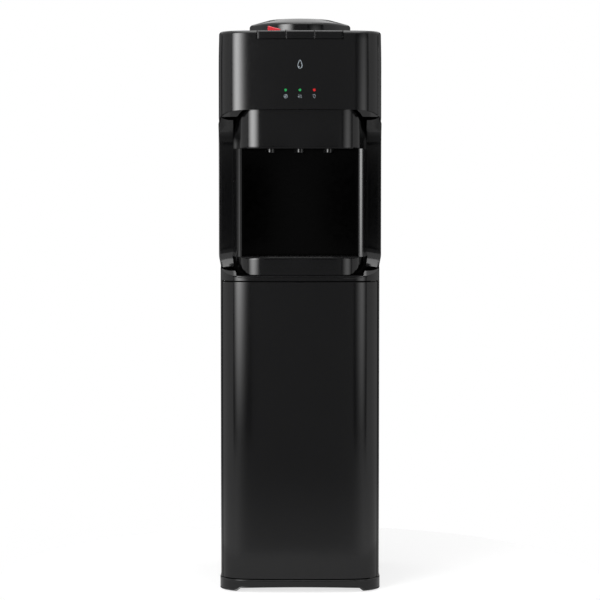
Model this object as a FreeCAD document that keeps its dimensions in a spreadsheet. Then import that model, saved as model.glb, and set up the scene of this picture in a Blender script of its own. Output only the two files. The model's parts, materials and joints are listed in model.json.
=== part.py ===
"""Floor-standing water dispenser with a bottle seat on top, a tap alcove and a cabinet.

One document, one object per physical piece. +Z is up, the front faces -Y and the origin is on the
floor in the middle of the bounding box. Every size is a cell of the sheet, in millimetres, and the
pieces are bound to the cells by expressions.
"""
import FreeCAD, Part
import math
import os
import re

import Sketcher
from FreeCAD import Placement, Rotation, Vector

os.makedirs("parts", exist_ok=True)
doc = FreeCAD.newDocument("WaterDispenser")

SIZES = {
    # Plan outline: a long front arc, a tighter arc at each front corner and straight sides.
    "front_reach": 170,          # from the origin to the foremost point of the front
    "face_radius": 1200,
    "corner_radius": 47,
    "body_half": 152.8,
    "head_flare": 2.9,           # how far each side of these stands out past the body
    "cheek_flare": 4.4,
    "plinth_flare": 1.6,
    "cover_rear": 159,           # rear faces of the plastic covers and of the sheet panels
    "panel_rear": 156,
    # Clearances.
    "seam_gap": 0.3,             # between pieces that lie beside each other
    "pin_gap": 0.06,             # radial, between a pin and its hole
    "slide_gap": 0.4,            # radial, round a push rod
    # Plinth and feet.
    "foot_height": 2,
    "foot_radius": 12,
    "foot_edge": 26.4,           # from the side, front and rear of the plinth to a foot's axis
    "foot_front": 42,
    "foot_rear": 31,
    "foot_boss": 14,
    "plinth_top": 24,
    "plinth_wall": 3,
    "plinth_deck": 2.5,
    "arch_height": 10,
    "arch_edge": 32.4,           # from the side of the plinth to the end of its arch
    "arch_depth": 100,
    # Sheet-metal panels.
    "panel_thickness": 1.2,
    "panel_drop": 31.3,          # from the top of the head to the top of the panels
    "panel_setback": 35.5,
    "panel_upper_gap": 4.4,      # from the back of the recess band to the panels above the door
    # Door.
    "door_bottom": 26,
    "door_drop": 9.6,            # below the lip: the top of the door, the apron, the rail and the cabinet
    "door_skin": 2,
    "door_setback": 33,          # from the foremost point to the door's side edges
    "door_back": 36,             # from the foremost point to the back of the door
    "pan_edge": 6.8,             # in from the side of the body to the side of the pan
    "pan_plate": 3,
    "pan_rim": 12,
    "pan_margin": 1.5,
    "pan_gap": 0.1,
    "hinge_edge": 9.3,
    "hinge_inset": 4,            # from the outer face of the door to the pin's axis
    "hinge_pin": 1.5,
    "hinge_depth": 12,
    "hinge_plate": 1.4,
    "hinge_plate_half": 9,
    "magnet_edge": 37.8,
    "magnet_half": 15,
    "magnet_height": 6,
    "strike_thickness": 1.5,
    # Cabinet.
    "cabinet_setback": 37.5,
    "cabinet_edge": 4.8,
    "cabinet_depth": 145,
    "cabinet_drop": 19.3,
    "cabinet_wall": 2,
    "rail_drop": 7,
    "rail_depth": 16.5,
    "deck_thickness": 2,
    "deck_gap": 0.4,             # between a deck and the side panel's inner face
    "rail_edge": 6.8,
    # Recess moulding: a C-shaped band across the whole width.
    "apron_drop": 9,
    "lip_level": 605,
    "recess_height": 318,        # from the lip of the door side to the crease under the head
    "recess_depth": 86,
    "recess_slope": 52,          # setback where the rounded brow and sill turn into the slopes
    "brow_drop": 25.5,
    "brow_radius": 150,
    "recess_top_drop": 57,
    "sill_rise": 26,
    "sill_radius": 120,
    "recess_foot_rise": 55,
    "moulding_wall": 4,
    "apron_wall": 2.5,
    "cheek_rise": 35,
    "cheek_drop": 25.8,
    "cheek_setback": 120,
    "window_setback": 8,
    # Head.
    "head_skirt": 25.5,
    "head_height": 148.3,        # from the crease to the top of the head
    "head_wall": 2.5,
    "head_floor": 2.4,
    # Alcove: tap housing, columns, back panel, shelf and drip tray.
    "module_setback": 12,
    "module_gap": 0.3,
    "housing_height": 74.3,
    "alcove_edge": 41.8,         # in from the side of the body to the side of the alcove
    "housing_spread": 3.6,       # out from the side of the alcove, at the front and at the rear
    "housing_rear_spread": 15.6,
    "housing_wall": 2.5,
    "column_spread": 8.6,
    "column_rear_spread": 17.4,
    "back_thickness": 3,
    "shelf_rise": 2.1,
    "shelf_thickness": 2.5,
    "tray_rise": 37.9,
    "tray_spread": 3,
    "tray_rear_spread": 13.3,
    "tray_wall": 3,
    "grille_inset": 3,
    "grille_thickness": 2.5,
    "grille_ledge": 2,
    "slot_pitch": 9.8,
    "slot_width": 4.8,
    "slot_margin": 4,
    # Taps.
    "tap_pitch": 56,
    "tap_half": 11,
    "tap_drop": 45,
    "tap_cover": 18,
    "tap_front": 24,             # setback of the tap body's front
    "tap_rear": 82,
    "stub_radius": 6,
    "stub_drop": 32,
    "stub_reach": 14,
    "stub_bore": 3.5,
    "nut_radius": 10,
    "nut_length": 7,
    "spout_setback": 70,
    "spout_radius": 9.8,
    "spout_bore": 6.5,
    "spout_reach": 7.7,
    # Keys, push rods and child lock.
    "key_width": 53.7,
    "key_pitch": 54.3,
    "key_drop": 22.3,            # from the top of the head to the keys' lower edge
    "key_sill_drop": 17.2,       # and to the head's front edge under the keys
    "key_rear": 62,              # setback of the keys' rear edge
    "key_wall": 2.2,
    "key_gap": 0.6,
    "pivot_setback": 58,
    "pivot_drop": 9.8,
    "pivot_radius": 2.5,
    "pivot_barrel": 4.5,
    "bracket_length": 5,
    "bracket_half": 6,
    "rod_radius": 2,
    "rod_setback": 35,
    "rod_drop": 29,
    "rod_stroke": 4,
    "lock_left": 61,
    "lock_right": 37,
    "lock_travel": 6,
    "lock_setback": 10,
    "lock_depth": 16,
    "lock_height": 9,
    "lock_low": 2.5,
    "lock_neck": 8,
    "lock_foot": 2,
    # Indicator lamps and their board.
    "lamp_rise": 35.7,           # above the crease at the foot of the head
    "lamp_pitch": 27,
    "lamp_radius": 2.5,
    "lamp_length": 6.5,
    "board_half": 42,
    "board_half_height": 11,
    "board_thickness": 1.6,
    "standoff_radius": 3,
    "standoff_across": 36,
    # Bottle seat.
    "seat_back": 79,             # from the back of the recess to the seat's axis
    "seat_radius": 98,
    "seat_band_rise": 15.7,      # levels of the seat above the top of the head
    "seat_shoulder": 86,
    "seat_shoulder_rise": 23.6,
    "seat_shoulder_radius": 13,
    "seat_crest": 62,
    "seat_rise": 30.3,
    "seat_wall": 3,
    "seat_skirt": 88,
    "seat_skirt_depth": 12,
    "throat_radius": 29,
    "throat_drop": 25.3,
    "throat_length": 26,
    "feed_radius": 11,
    "feed_bore": 9,
    "feed_dip": 75,
    "gasket_radius": 3,
    "gasket_rise": 2,
    # Cold tank and its cooling coil.
    "cold_across": 0,
    "cold_offset": 41,
    "cold_radius": 58,
    "cold_drop": 118,
    "cold_rise": 32,
    "tank_wall": 1.2,
    "lid_thickness": 3,
    "lid_bore_gap": 0.3,
    "coil_tube": 2.5,
    "coil_header": 3.2,
    "coil_turns": 5,
    "coil_pitch": 22,
    "coil_rise": 20,
    "foam_outer": 76,
    "foam_floor": 14,
    "foam_gap": 0.5,
    "upper_deck_drop": 16,
    "upper_deck_thickness": 2,
    "upper_deck_setback": 130,
    "port_radius": 4,
    "port_bore": 2.5,
    "port_reach": 4,
    "cold_port_rise": 13,
    "cold_port_across": 25,
    "ambient_port_drop": 25,
    "baffle_drop": 55,
    "baffle_thickness": 2,
    # Hot tank.
    "hot_across": 70,
    "hot_offset": 14,
    "hot_radius": 40,
    "hot_rise": 9,
    "hot_headroom": 37,          # between the hot tank and the upper deck
    "hot_foam_outer": 55,
    "hot_foam_cap": 10,
    "heater_thickness": 1.5,
    "heater_rise": 16,
    "heater_height": 50,
    "hot_port_drop": 14,
    "fill_pipe_radius": 5,
    "fill_pipe_across": 50,
    "fill_pipe_offset": 2,
    "drain_radius": 5,
    "drain_rise": 10,
    "plug_radius": 8,
    "plug_length": 9,
    # Hoses and refrigerant pipes.
    "hose_radius": 4,
    "hose_bore": 2.5,
    "pipe_radius": 2.5,
    "compressor_radius": 56,
    "compressor_inset": 71,      # from the rear panel to the compressor's axis
    "compressor_base": 32,
    "compressor_top": 172,
    "compressor_round": 24,
    "plate_thickness": 2,
    "plate_half": 80,
    "plate_depth_half": 60,
    "grommet_radius": 8,
    "grommet_inset": 12,
    "pipe_across": 28,
    "pipe_rise": 26,
    "drier_radius": 9,
    "drier_edge": 52.8,
    "drier_bottom": 640,
    "drier_length": 110,
    # Condenser on the rear.
    "condenser_standoff": 14,    # from the rear panel to the rear of the wires
    "condenser_edge": 40.8,
    "condenser_low": 205,
    "condenser_pitch": 44,
    "condenser_rows": 14,
    "condenser_tube": 2.5,
    "condenser_wire": 1,
    "wire_pitch": 16,
    "wire_overhang": 6,
    "condenser_lead": 5,
    "clip_half": 6,
    # Rear fittings.
    "switch_edge": 62.8,
    "switch_drop": 57,
    "switch_plate_half": 26,
    "switch_plate_height": 17,
    "switch_plate_thickness": 2,
    "rocker_pitch": 22,
    "rocker_half": 6.5,
    "rocker_half_height": 9.5,
    "rocker_depth": 6,
    "rocker_gap": 0.8,
    "gland_edge": 57.8,
    "gland_level": 110,
    "gland_radius": 9,
    "gland_flange": 13,
    "gland_bore": 4,
    "gland_length": 8,
    "screw_radius": 3.5,
    "screw_head": 2,
    "screw_rows": 4,
    "screw_edge": 8.8,
    "screw_low": 60,
    "screw_pitch": 240,
}

# Sizes that follow from others, each under a name of its own.
WORKED = {
    "head_half": "body_half + head_flare",
    "cheek_half": "body_half + cheek_flare",
    "plinth_half": "body_half + plinth_flare",
    "arch_half": "plinth_half - arch_edge",
    "foot_across": "plinth_half - foot_edge",
    "pan_half": "body_half - pan_edge",
    "hinge_across": "body_half - hinge_edge",
    "magnet_across": "body_half - magnet_edge",
    "cabinet_half": "body_half - cabinet_edge",
    "deck_half": "body_half - panel_thickness - deck_gap",
    "rail_half": "body_half - rail_edge",
    "alcove_half": "body_half - alcove_edge",
    "housing_half": "alcove_half + housing_spread",
    "housing_rear_half": "alcove_half + housing_rear_spread",
    "column_half": "alcove_half + column_spread",
    "column_rear_half": "alcove_half + column_rear_spread",
    "window_half": "column_rear_half + module_gap",
    "tray_half": "alcove_half + tray_spread",
    "tray_rear_half": "alcove_half + tray_rear_spread",
    "grille_half": "alcove_half - grille_inset",
    "screw_across": "body_half - screw_edge",
    "rear_reach": "panel_rear + condenser_standoff",
    "crease_level": "lip_level + recess_height",
    "door_top": "lip_level - door_drop",
    "apron_bottom": "lip_level - apron_drop",
    "rail_top": "lip_level - rail_drop",
    "cabinet_top": "lip_level - cabinet_drop",
    "shelf_level": "lip_level + shelf_rise",
    "tray_top": "lip_level + tray_rise",
    "cheek_bottom": "lip_level + cheek_rise",
    "hot_bottom": "lip_level + hot_rise",
    "hot_top": "upper_deck_level - hot_headroom",
    "heater_bottom": "hot_bottom + heater_rise",
    "hot_port_level": "hot_top - hot_port_drop",
    "drain_level": "hot_bottom + drain_rise",
    "head_top": "crease_level + head_height",
    "head_bottom": "crease_level - head_skirt",
    "cheek_top": "crease_level - cheek_drop",
    "housing_bottom": "crease_level - housing_height",
    "tap_bottom": "crease_level - tap_drop",
    "tap_top": "crease_level - tap_cover",
    "stub_level": "crease_level - stub_drop",
    "spout_bottom": "housing_bottom - spout_reach",
    "rod_bottom": "crease_level - rod_drop",
    "cold_bottom": "crease_level - cold_drop",
    "cold_top": "crease_level + cold_rise",
    "coil_start": "cold_bottom + coil_rise",
    "upper_deck_level": "cold_bottom - upper_deck_drop",
    "cold_port_level": "cold_bottom + cold_port_rise",
    "ambient_port_level": "cold_top - ambient_port_drop",
    "baffle_level": "cold_top - baffle_drop",
    "feed_bottom": "cold_top - feed_dip",
    "switch_level": "crease_level - switch_drop",
    "cold_back": "seat_setback + cold_offset",
    "fill_pipe_back": "cold_back + fill_pipe_offset",
    "hot_back": "cold_back + hot_offset",
    "seat_setback": "recess_depth + seat_back",
    "switch_across": "body_half - switch_edge",
    "gland_across": "body_half - gland_edge",
    "drier_across": "body_half - drier_edge",
    "condenser_half": "body_half - condenser_edge",
    "panel_top": "head_top - panel_drop",
    "key_bottom": "head_top - key_drop",
    "key_sill": "head_top - key_sill_drop",
    "pivot_level": "head_top - pivot_drop",
    "seat_band_top": "head_top + seat_band_rise",
    "seat_shoulder_level": "head_top + seat_shoulder_rise",
    "seat_top": "head_top + seat_rise",
    "throat_top": "head_top - throat_drop",
    "throat_bottom": "throat_top - throat_length",
    "lamp_level": "crease_level + lamp_rise",
}
SIZE_NAME = re.compile(r"[a-z][a-z_0-9]*")
TURNED = {
    "x": Rotation(Vector(0, 1, 0), 90),
    "y": Rotation(Vector(1, 0, 0), -90),
    "z": Rotation(),
}
pieces = []


def make_sheet():
    """Write each size into a cell of its own, under its name."""
    cells = doc.addObject("Spreadsheet::Sheet", "Sizes")
    for row, (name, size) in enumerate(SIZES.items(), start=1):
        cells.set(f"A{row}", name)
        cells.set(f"B{row}", str(size))
        cells.setAlias(f"B{row}", name)
    doc.recompute()
    return cells


sheet = make_sheet()


def bound(text):
    """Return an expression in which each size name points at its cell."""
    def swap(word):
        if word[0] in WORKED:
            return f"({bound(WORKED[word[0]])})"
        return f"Sizes.{word[0]}" if word[0] in SIZES else word[0]

    return SIZE_NAME.sub(swap, str(text))


def number(text):
    """Return the present value of an expression of size names."""
    return float(sheet.evalExpression(bound(text)))


def bind(item, **expressions):
    """Bind properties of an object to expressions of size names."""
    for name, text in expressions.items():
        item.setExpression(name.replace("__", "."), bound(text))


def place(item, x="0", y="0", z="0"):
    """Bind an object's position."""
    bind(item, Placement__Base__x=x, Placement__Base__y=y, Placement__Base__z=z)
    return item


def block(x, y, z):
    """Return a box between the pairs of expressions x, y and z."""
    box = doc.addObject("Part::Box", "Block")
    spans = [f"({high}) - ({low})" for low, high in (x, y, z)]
    bind(box, Length=spans[0], Width=spans[1], Height=spans[2])
    return place(box, x[0], y[0], z[0])


def drafted(x_front, x_rear, y, z):
    """Return a block whose X limits change from the front to the rear."""
    wedge = doc.addObject("Part::Wedge", "Drafted")
    bind(wedge, Xmin=x_front[0], Xmax=x_front[1], X2min=x_rear[0], X2max=x_rear[1])
    bind(wedge, Ymin=y[0], Ymax=y[1], Zmin=z[0], Zmax=z[1], Z2min=z[0], Z2max=z[1])
    return wedge


def rod(radius, length, at, axis="z"):
    """Return a cylinder that starts at a point and runs along an axis."""
    cylinder = doc.addObject("Part::Cylinder", "Rod")
    cylinder.Placement = Placement(Vector(), TURNED[axis])
    bind(cylinder, Radius=radius, Height=length)
    return place(cylinder, *at)


def fuse(*items):
    """Return the union of some objects."""
    union = doc.addObject("Part::MultiFuse", "Fuse")
    union.Shapes = list(items)
    return union


def cut(base, *tools):
    """Return an object less one or more others."""
    result = doc.addObject("Part::Cut", "Cut")
    result.Base = base
    result.Tool = tools[0] if len(tools) == 1 else fuse(*tools)
    return result


def common(*items):
    """Return what some objects share."""
    shared = doc.addObject("Part::MultiCommon", "Common")
    shared.Shapes = list(items)
    return shared


def group(*items):
    """Return separate solids as one object."""
    compound = doc.addObject("Part::Compound", "Group")
    compound.Links = list(items)
    return compound


def piece(label, item):
    """Name a finished piece, which also names its file."""
    item.Label = label
    pieces.append(item)
    return item


def edge_through(start, end, radius):
    """Return a line, or an arc that bulges to the right of the way from start to end."""
    if radius is None:
        return Part.LineSegment(start, end)
    way = end - start
    sagitta = radius - math.sqrt(radius ** 2 - way.Length ** 2 / 4)
    right = Vector(way.y, -way.x, 0).normalize()
    return Part.Arc(start, (start + end) / 2 + right * sagitta, end)


def draw(body, role, level, outline):
    """Draw a closed outline on one of a body's origin planes, lifted by a level.

    Each point is (u, v) or (u, v, radius): with a radius, the edge that leaves it is an arc that
    bulges to the right of the way.
    """
    sketch = body.newObject("Sketcher::SketchObject", "Outline")
    plane = next(item for item in body.Origin.OriginFeatures if item.Role == role)
    sketch.AttachmentSupport = (plane, [""])
    sketch.MapMode = "FlatFace"
    bind(sketch, AttachmentOffset__Base__z=level)
    radii = [point[2] if len(point) > 2 else None for point in outline]
    spots = [Vector(number(point[0]), number(point[1]), 0) for point in outline]
    for index, radius in enumerate(radii):
        start, end = spots[index], spots[(index + 1) % len(spots)]
        sketch.addGeometry(edge_through(start, end, None if radius is None else number(radius)), False)
    for index, point in enumerate(outline):
        following = (index + 1) % len(outline)
        sketch.addConstraint(Sketcher.Constraint("Coincident", index, 2, following, 1))
        for kind, text, spot in (("DistanceX", point[0], spots[index].x),
                                 ("DistanceY", point[1], spots[index].y)):
            rule = Sketcher.Constraint(kind, -1, 1, index, 1, spot)
            sketch.setExpression(f"Constraints[{sketch.addConstraint(rule)}]", bound(text))
        if radii[index] is not None:
            rule = Sketcher.Constraint("Radius", index, number(radii[index]))
            sketch.setExpression(f"Constraints[{sketch.addConstraint(rule)}]", bound(radii[index]))
    return sketch


def padded(role, level, length, outline):
    """Return a body that is one outline, padded along the plane's normal."""
    body = doc.addObject("PartDesign::Body", "Body")
    pad = body.newObject("PartDesign::Pad", "Pad")
    pad.Profile = draw(body, role, level, outline)
    bind(pad, Length=length)
    return body


def revolved(outline, x, y):
    """Return a body that is one outline of (radius, level) points, turned round a vertical axis."""
    body = doc.addObject("PartDesign::Body", "Body")
    sketch = draw(body, "XZ_Plane", "0", outline)
    turn = body.newObject("PartDesign::Revolution", "Revolution")
    turn.Profile = sketch
    turn.ReferenceAxis = (sketch, ["V_Axis"])
    turn.Angle = 360
    return place(body, x, y)


def ring(outer, inner, length, at, axis="z"):
    """Return a tube between two radii."""
    start = list(at)
    index = "xyz".index(axis)
    start[index] = f"{at[index]} - 1"
    return cut(rod(outer, length, at, axis), rod(inner, f"{length} + 2", start, axis))


def setback(depth):
    """Return the Y of a plane that lies a depth behind the foremost point."""
    return f"(-front_reach + ({depth}))"


def plan_outline(half, rear, inset="0"):
    """Return the plan outline at a half width, set in all round."""
    across = f"({half} - corner_radius)"
    between = "(face_radius - corner_radius)"
    drop = f"sqrt({between}^2 - {across}^2)"
    centre = "(face_radius - front_reach)"
    scale = f"((face_radius - ({inset})) / {between})"
    side, back = f"({half} - ({inset}))", f"({rear} - ({inset}))"
    corner_y = f"({centre} - {drop})"
    tangent_x, tangent_y = f"({across} * {scale})", f"({centre} - {drop} * {scale})"
    corner, face = f"(corner_radius - ({inset}))", f"(face_radius - ({inset}))"
    return [
        (side, back), (f"-{side}", back), (f"-{side}", corner_y, corner),
        (f"-{tangent_x}", tangent_y, face), (tangent_x, tangent_y, corner), (side, corner_y),
    ]


def plan_block(half, rear, z, inset="0"):
    """Return a prism of the plan outline between two levels."""
    return padded("XY_Plane", z[0], f"({z[1]}) - ({z[0]})", plan_outline(half, rear, inset))


def recess_air(shift, half="cheek_half + 5"):
    """Return the C-shaped space of the recess, moved back by a shift, as a bar across the width."""
    outline = [
        (setback(f"-10 + {shift}"), "lip_level"),
        (setback(shift), "lip_level", "sill_radius"),
        (setback(f"recess_slope + {shift}"), "lip_level + sill_rise"),
        (setback(f"recess_depth + {shift}"), "lip_level + recess_foot_rise"),
        (setback(f"recess_depth + {shift}"), "crease_level - recess_top_drop"),
        (setback(f"recess_slope + {shift}"), "crease_level - brow_drop", "brow_radius"),
        (setback(shift), "crease_level"),
        (setback(f"-10 + {shift}"), "crease_level"),
    ]
    return padded("YZ_Plane", f"-({half})", f"2 * ({half})", outline)


def route(points):
    """Return a wire of straight runs joined by tangent arcs that are as large as the runs allow."""
    corners = []
    for before, corner, after in zip(points, points[1:], points[2:]):
        back, ahead = (before - corner), (after - corner)
        turn = math.pi - back.getAngle(ahead)
        reach = 0.45 * min(back.Length, ahead.Length)
        start, end = corner + back.normalize() * reach, corner + ahead.normalize() * reach
        radius = reach / math.tan(turn / 2)
        inward = (start + end) / 2 - corner
        centre = corner + inward.normalize() * math.hypot(radius, reach)
        middle = centre - inward.normalize() * radius
        corners.append((start, Part.Arc(start, middle, end), end))
    edges, here = [], points[0]
    for start, arc, end in corners:
        edges += [Part.LineSegment(here, start).toShape(), arc.toShape()]
        here = end
    edges.append(Part.LineSegment(here, points[-1]).toShape())
    return Part.Wire(edges)


def swept(wire, start, way, radius):
    """Return the solid that a disc sweeps along a wire."""
    disc = Part.Wire(Part.makeCircle(radius, start, way))
    return wire.makePipeShell([disc], True, True)


def tube(spots, radius, bore=None):
    """Return a hose or pipe along a route of points, each a triple of expressions."""
    points = [Vector(*(number(text) for text in spot)) for spot in spots]
    wire, way = route(points), points[1] - points[0]
    shape = swept(wire, points[0], way, number(radius))
    section = math.pi * number(radius) ** 2
    if bore:
        shape = shape.cut(swept(wire, points[0], way, number(bore)))
        section -= math.pi * number(bore) ** 2
    ratio = shape.Volume / (section * wire.Length)
    if abs(ratio - 1) > 0.01:
        raise ValueError(f"a sweep holds {ratio:.3f} of its section times its length")
    item = doc.addObject("Part::Feature", "Tube")
    item.Shape = shape
    return item


def build_plinth():
    """Base with an arched edge between its corner feet, and four rubber pads."""
    levels = ("foot_height", "plinth_top")
    shell = cut(plan_block("plinth_half", "cover_rear", levels),
                plan_block("plinth_half", "cover_rear", ("0", "plinth_top - plinth_deck"), "plinth_wall"))
    spots = [(f"{across} * foot_across", y) for across in (-1, 1)
             for y in (setback("foot_front"), "cover_rear - foot_rear")]
    bosses = [rod("foot_boss", "plinth_top - plinth_deck - foot_height", (*spot, "foot_height"))
              for spot in spots]
    height = ("0", "arch_height")
    arches = [block(("-arch_half", "arch_half"), ("-front_reach - 5", "cover_rear + 5"), height),
              block(("-plinth_half - 5", "plinth_half + 5"), ("-arch_depth", "arch_depth"), height)]
    piece("base_plinth", fuse(cut(shell, *arches), *bosses))
    piece("foot_pads", group(*(rod("foot_radius", "foot_height", (*spot, "0")) for spot in spots)))


def build_panels():
    """Two side panels that wrap the front corners, a rear panel and the cross members."""
    rear = "panel_rear - panel_thickness - seam_gap"
    sides = {"left_side_panel": ("-body_half - 1", "0"), "right_side_panel": ("0", "body_half + 1")}
    for label, x in sides.items():
        inner = ("0", "panel_top + 1")
        sheet_shell = cut(plan_block("body_half", "panel_rear + 2", ("plinth_top", "panel_top")),
                          plan_block("body_half", "panel_rear + 8", inner, "panel_thickness"))
        lower = block(x, (setback("panel_setback"), rear), ("plinth_top", "apron_bottom - seam_gap"))
        upper = block(x, (setback("recess_depth + moulding_wall + panel_upper_gap"), rear),
                      ("apron_bottom - seam_gap", "panel_top"))
        piece(label, common(sheet_shell, fuse(lower, upper)))
    back = block(("-body_half", "body_half"), ("panel_rear - panel_thickness", "panel_rear"),
                 ("plinth_top", "panel_top"))
    rockers = [block((f"{x} - rocker_half - rocker_gap", f"{x} + rocker_half + rocker_gap"),
                     ("panel_rear - 5", "panel_rear + 5"),
                     ("switch_level - rocker_half_height - rocker_gap",
                      "switch_level + rocker_half_height + rocker_gap")) for x in rocker_places()]
    holes = [
        rod("gland_radius + seam_gap", "20", ("-gland_across", "panel_rear - 10", "gland_level"), "y"),
        rod("drain_radius + seam_gap", "20", ("-hot_across", "panel_rear - 10", "drain_level"), "y"),
        rod("pipe_radius + seam_gap", "20", ("pipe_across", "panel_rear - 10", "condenser_low"), "y"),
    ]
    piece("rear_panel", cut(back, *rockers, *holes))
    rail = block(("-rail_half", "rail_half"),
                 (setback("cabinet_setback"), setback("cabinet_setback + rail_depth")),
                 ("cabinet_top + seam_gap", "rail_top"))
    levels = ("rail_top", "rail_top + deck_thickness")
    front = setback("recess_depth + moulding_wall + panel_upper_gap")
    deck = fuse(block(("-rail_half", "rail_half"), (setback("cabinet_setback"), front), levels),
                block(("-deck_half", "deck_half"), (front, rear), levels))
    suction = rod("pipe_radius + seam_gap", "20", (*header_spot(), "rail_top - 10"))
    piece("tank_deck", fuse(cut(deck, suction), rail))


def hinge_spot():
    """Return the place of the door's pin axis, inside the right front corner."""
    across = "(hinge_across - body_half + corner_radius)"
    centre = ("(face_radius - front_reach - sqrt((face_radius - corner_radius)^2"
              " - (body_half - corner_radius)^2))")
    return "hinge_across", f"({centre} - sqrt((corner_radius - hinge_inset)^2 - {across}^2))"


def build_door():
    """Curved door skin, the pan behind it, its strike plate and magnet, and two hinges."""
    levels = ("door_bottom", "door_top")
    skin = cut(plan_block("body_half", "panel_rear", levels),
               plan_block("body_half", "panel_rear", ("0", "door_top + 1"), "door_skin"))
    front = block(("-body_half", "body_half"), ("-front_reach - 1", setback("door_setback")), levels)
    piece("door_skin", common(skin, front))
    inner = ("door_bottom + pan_margin", "door_top - pan_margin")
    pan = common(plan_block("body_half", "panel_rear", inner, "door_skin + pan_gap"),
                 block(("-pan_half", "pan_half"), ("-front_reach - 1", setback("door_back")), inner))
    hollow = block(("-pan_half + pan_rim", "pan_half - pan_rim"),
                   ("-front_reach - 1", setback("door_back - pan_plate")),
                   ("door_bottom + pan_rim", "door_top - pan_rim"))
    latch = ("-magnet_across - magnet_half", "-magnet_across + magnet_half")
    latch_z = ("rail_top - 2 * magnet_height", "rail_top - magnet_height")
    strike_front = setback("door_back - strike_thickness")
    strike = block(latch, (strike_front, setback("door_back + 1")), latch_z)
    pins = [rod("hinge_pin + pin_gap", "hinge_depth + 2", (*hinge_spot(), "door_bottom - 1")),
            rod("hinge_pin + pin_gap", "hinge_depth + 2", (*hinge_spot(), "door_top - hinge_depth - 1"))]
    piece("door_pan", cut(pan, hollow, strike, *pins))
    piece("door_strike_plate", block(latch, (strike_front, setback("door_back")), latch_z))
    magnet = (setback("door_back + seam_gap"), setback("cabinet_setback"))
    piece("door_magnet", block(latch, magnet, latch_z))
    hinges = []
    for z, start, length in (
            (("plinth_top", "plinth_top + hinge_plate"), "plinth_top + hinge_plate",
             "hinge_depth - pin_gap"),
            (("apron_bottom", "apron_bottom + hinge_plate"), "door_top - hinge_depth",
             "hinge_depth + apron_bottom - door_top")):
        plate = common(plan_block("body_half", "panel_rear", z, "apron_wall + seam_gap"),
                       block(("hinge_across - hinge_plate_half", "body_half"),
                             ("-front_reach", setback("cabinet_setback")), z))
        hinges.append(fuse(plate, rod("hinge_pin", length, (*hinge_spot(), start))))
    piece("door_hinges", group(*hinges))


def build_cabinet():
    """Open-fronted storage liner behind the door."""
    y = (setback("cabinet_setback"), setback("cabinet_setback + cabinet_depth"))
    outer = block(("-cabinet_half", "cabinet_half"), y, ("plinth_top + seam_gap", "cabinet_top"))
    inner = block(("-cabinet_half + cabinet_wall", "cabinet_half - cabinet_wall"),
                  (f"{y[0]} - 1", f"{y[1]} - cabinet_wall"),
                  ("plinth_top + seam_gap + cabinet_wall", "cabinet_top - cabinet_wall"))
    piece("cabinet_liner", cut(outer, inner))


def build_moulding():
    """C-shaped recess band with its apron and side cheeks, open in the middle for the tap module."""
    def shell(half, wall, z, rear):
        whole = cut(plan_block(half, "panel_rear", z),
                    plan_block(half, "panel_rear + 8", (f"{z[0]} - 1", f"{z[1]} + 1"), wall))
        return common(whole, block((f"-{half}", half), ("-front_reach - 1", rear), z))

    panels = setback("recess_depth + moulding_wall + panel_upper_gap - seam_gap")
    apron = shell("body_half", "apron_wall", ("apron_bottom", "cheek_bottom"), panels)
    cheeks = shell("cheek_half", "cheek_half - body_half - seam_gap", ("cheek_bottom", "cheek_top"),
                   setback("cheek_setback"))
    band = cut(recess_air("moulding_wall", "cheek_half + 2"), recess_air("0"))
    lower = common(band, plan_block("body_half", "panel_rear", ("lip_level - 1", "cheek_bottom")))
    middle = common(band, plan_block("cheek_half", "panel_rear", ("cheek_bottom", "cheek_top + seam_gap")))
    upper = common(band, plan_block("head_half", "cover_rear", ("cheek_top + seam_gap", "crease_level"),
                                    "head_wall + seam_gap"))
    windows = [block(("-window_half", "window_half"), (front, setback("recess_depth + 20")), z)
               for front, z in ((setback("window_setback"), ("lip_level - 2", "crease_level + 1")),
                                ("-front_reach - 1", ("housing_bottom", "crease_level + 1")))]
    shell_part = cut(fuse(apron, cheeks), recess_air("0"))
    piece("recess_moulding", cut(fuse(shell_part, lower, middle, upper), *windows))


def rod_places():
    """Return the X of the three taps, left to right."""
    return [f"{step} * tap_pitch" for step in (-1, 0, 1)]


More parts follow.
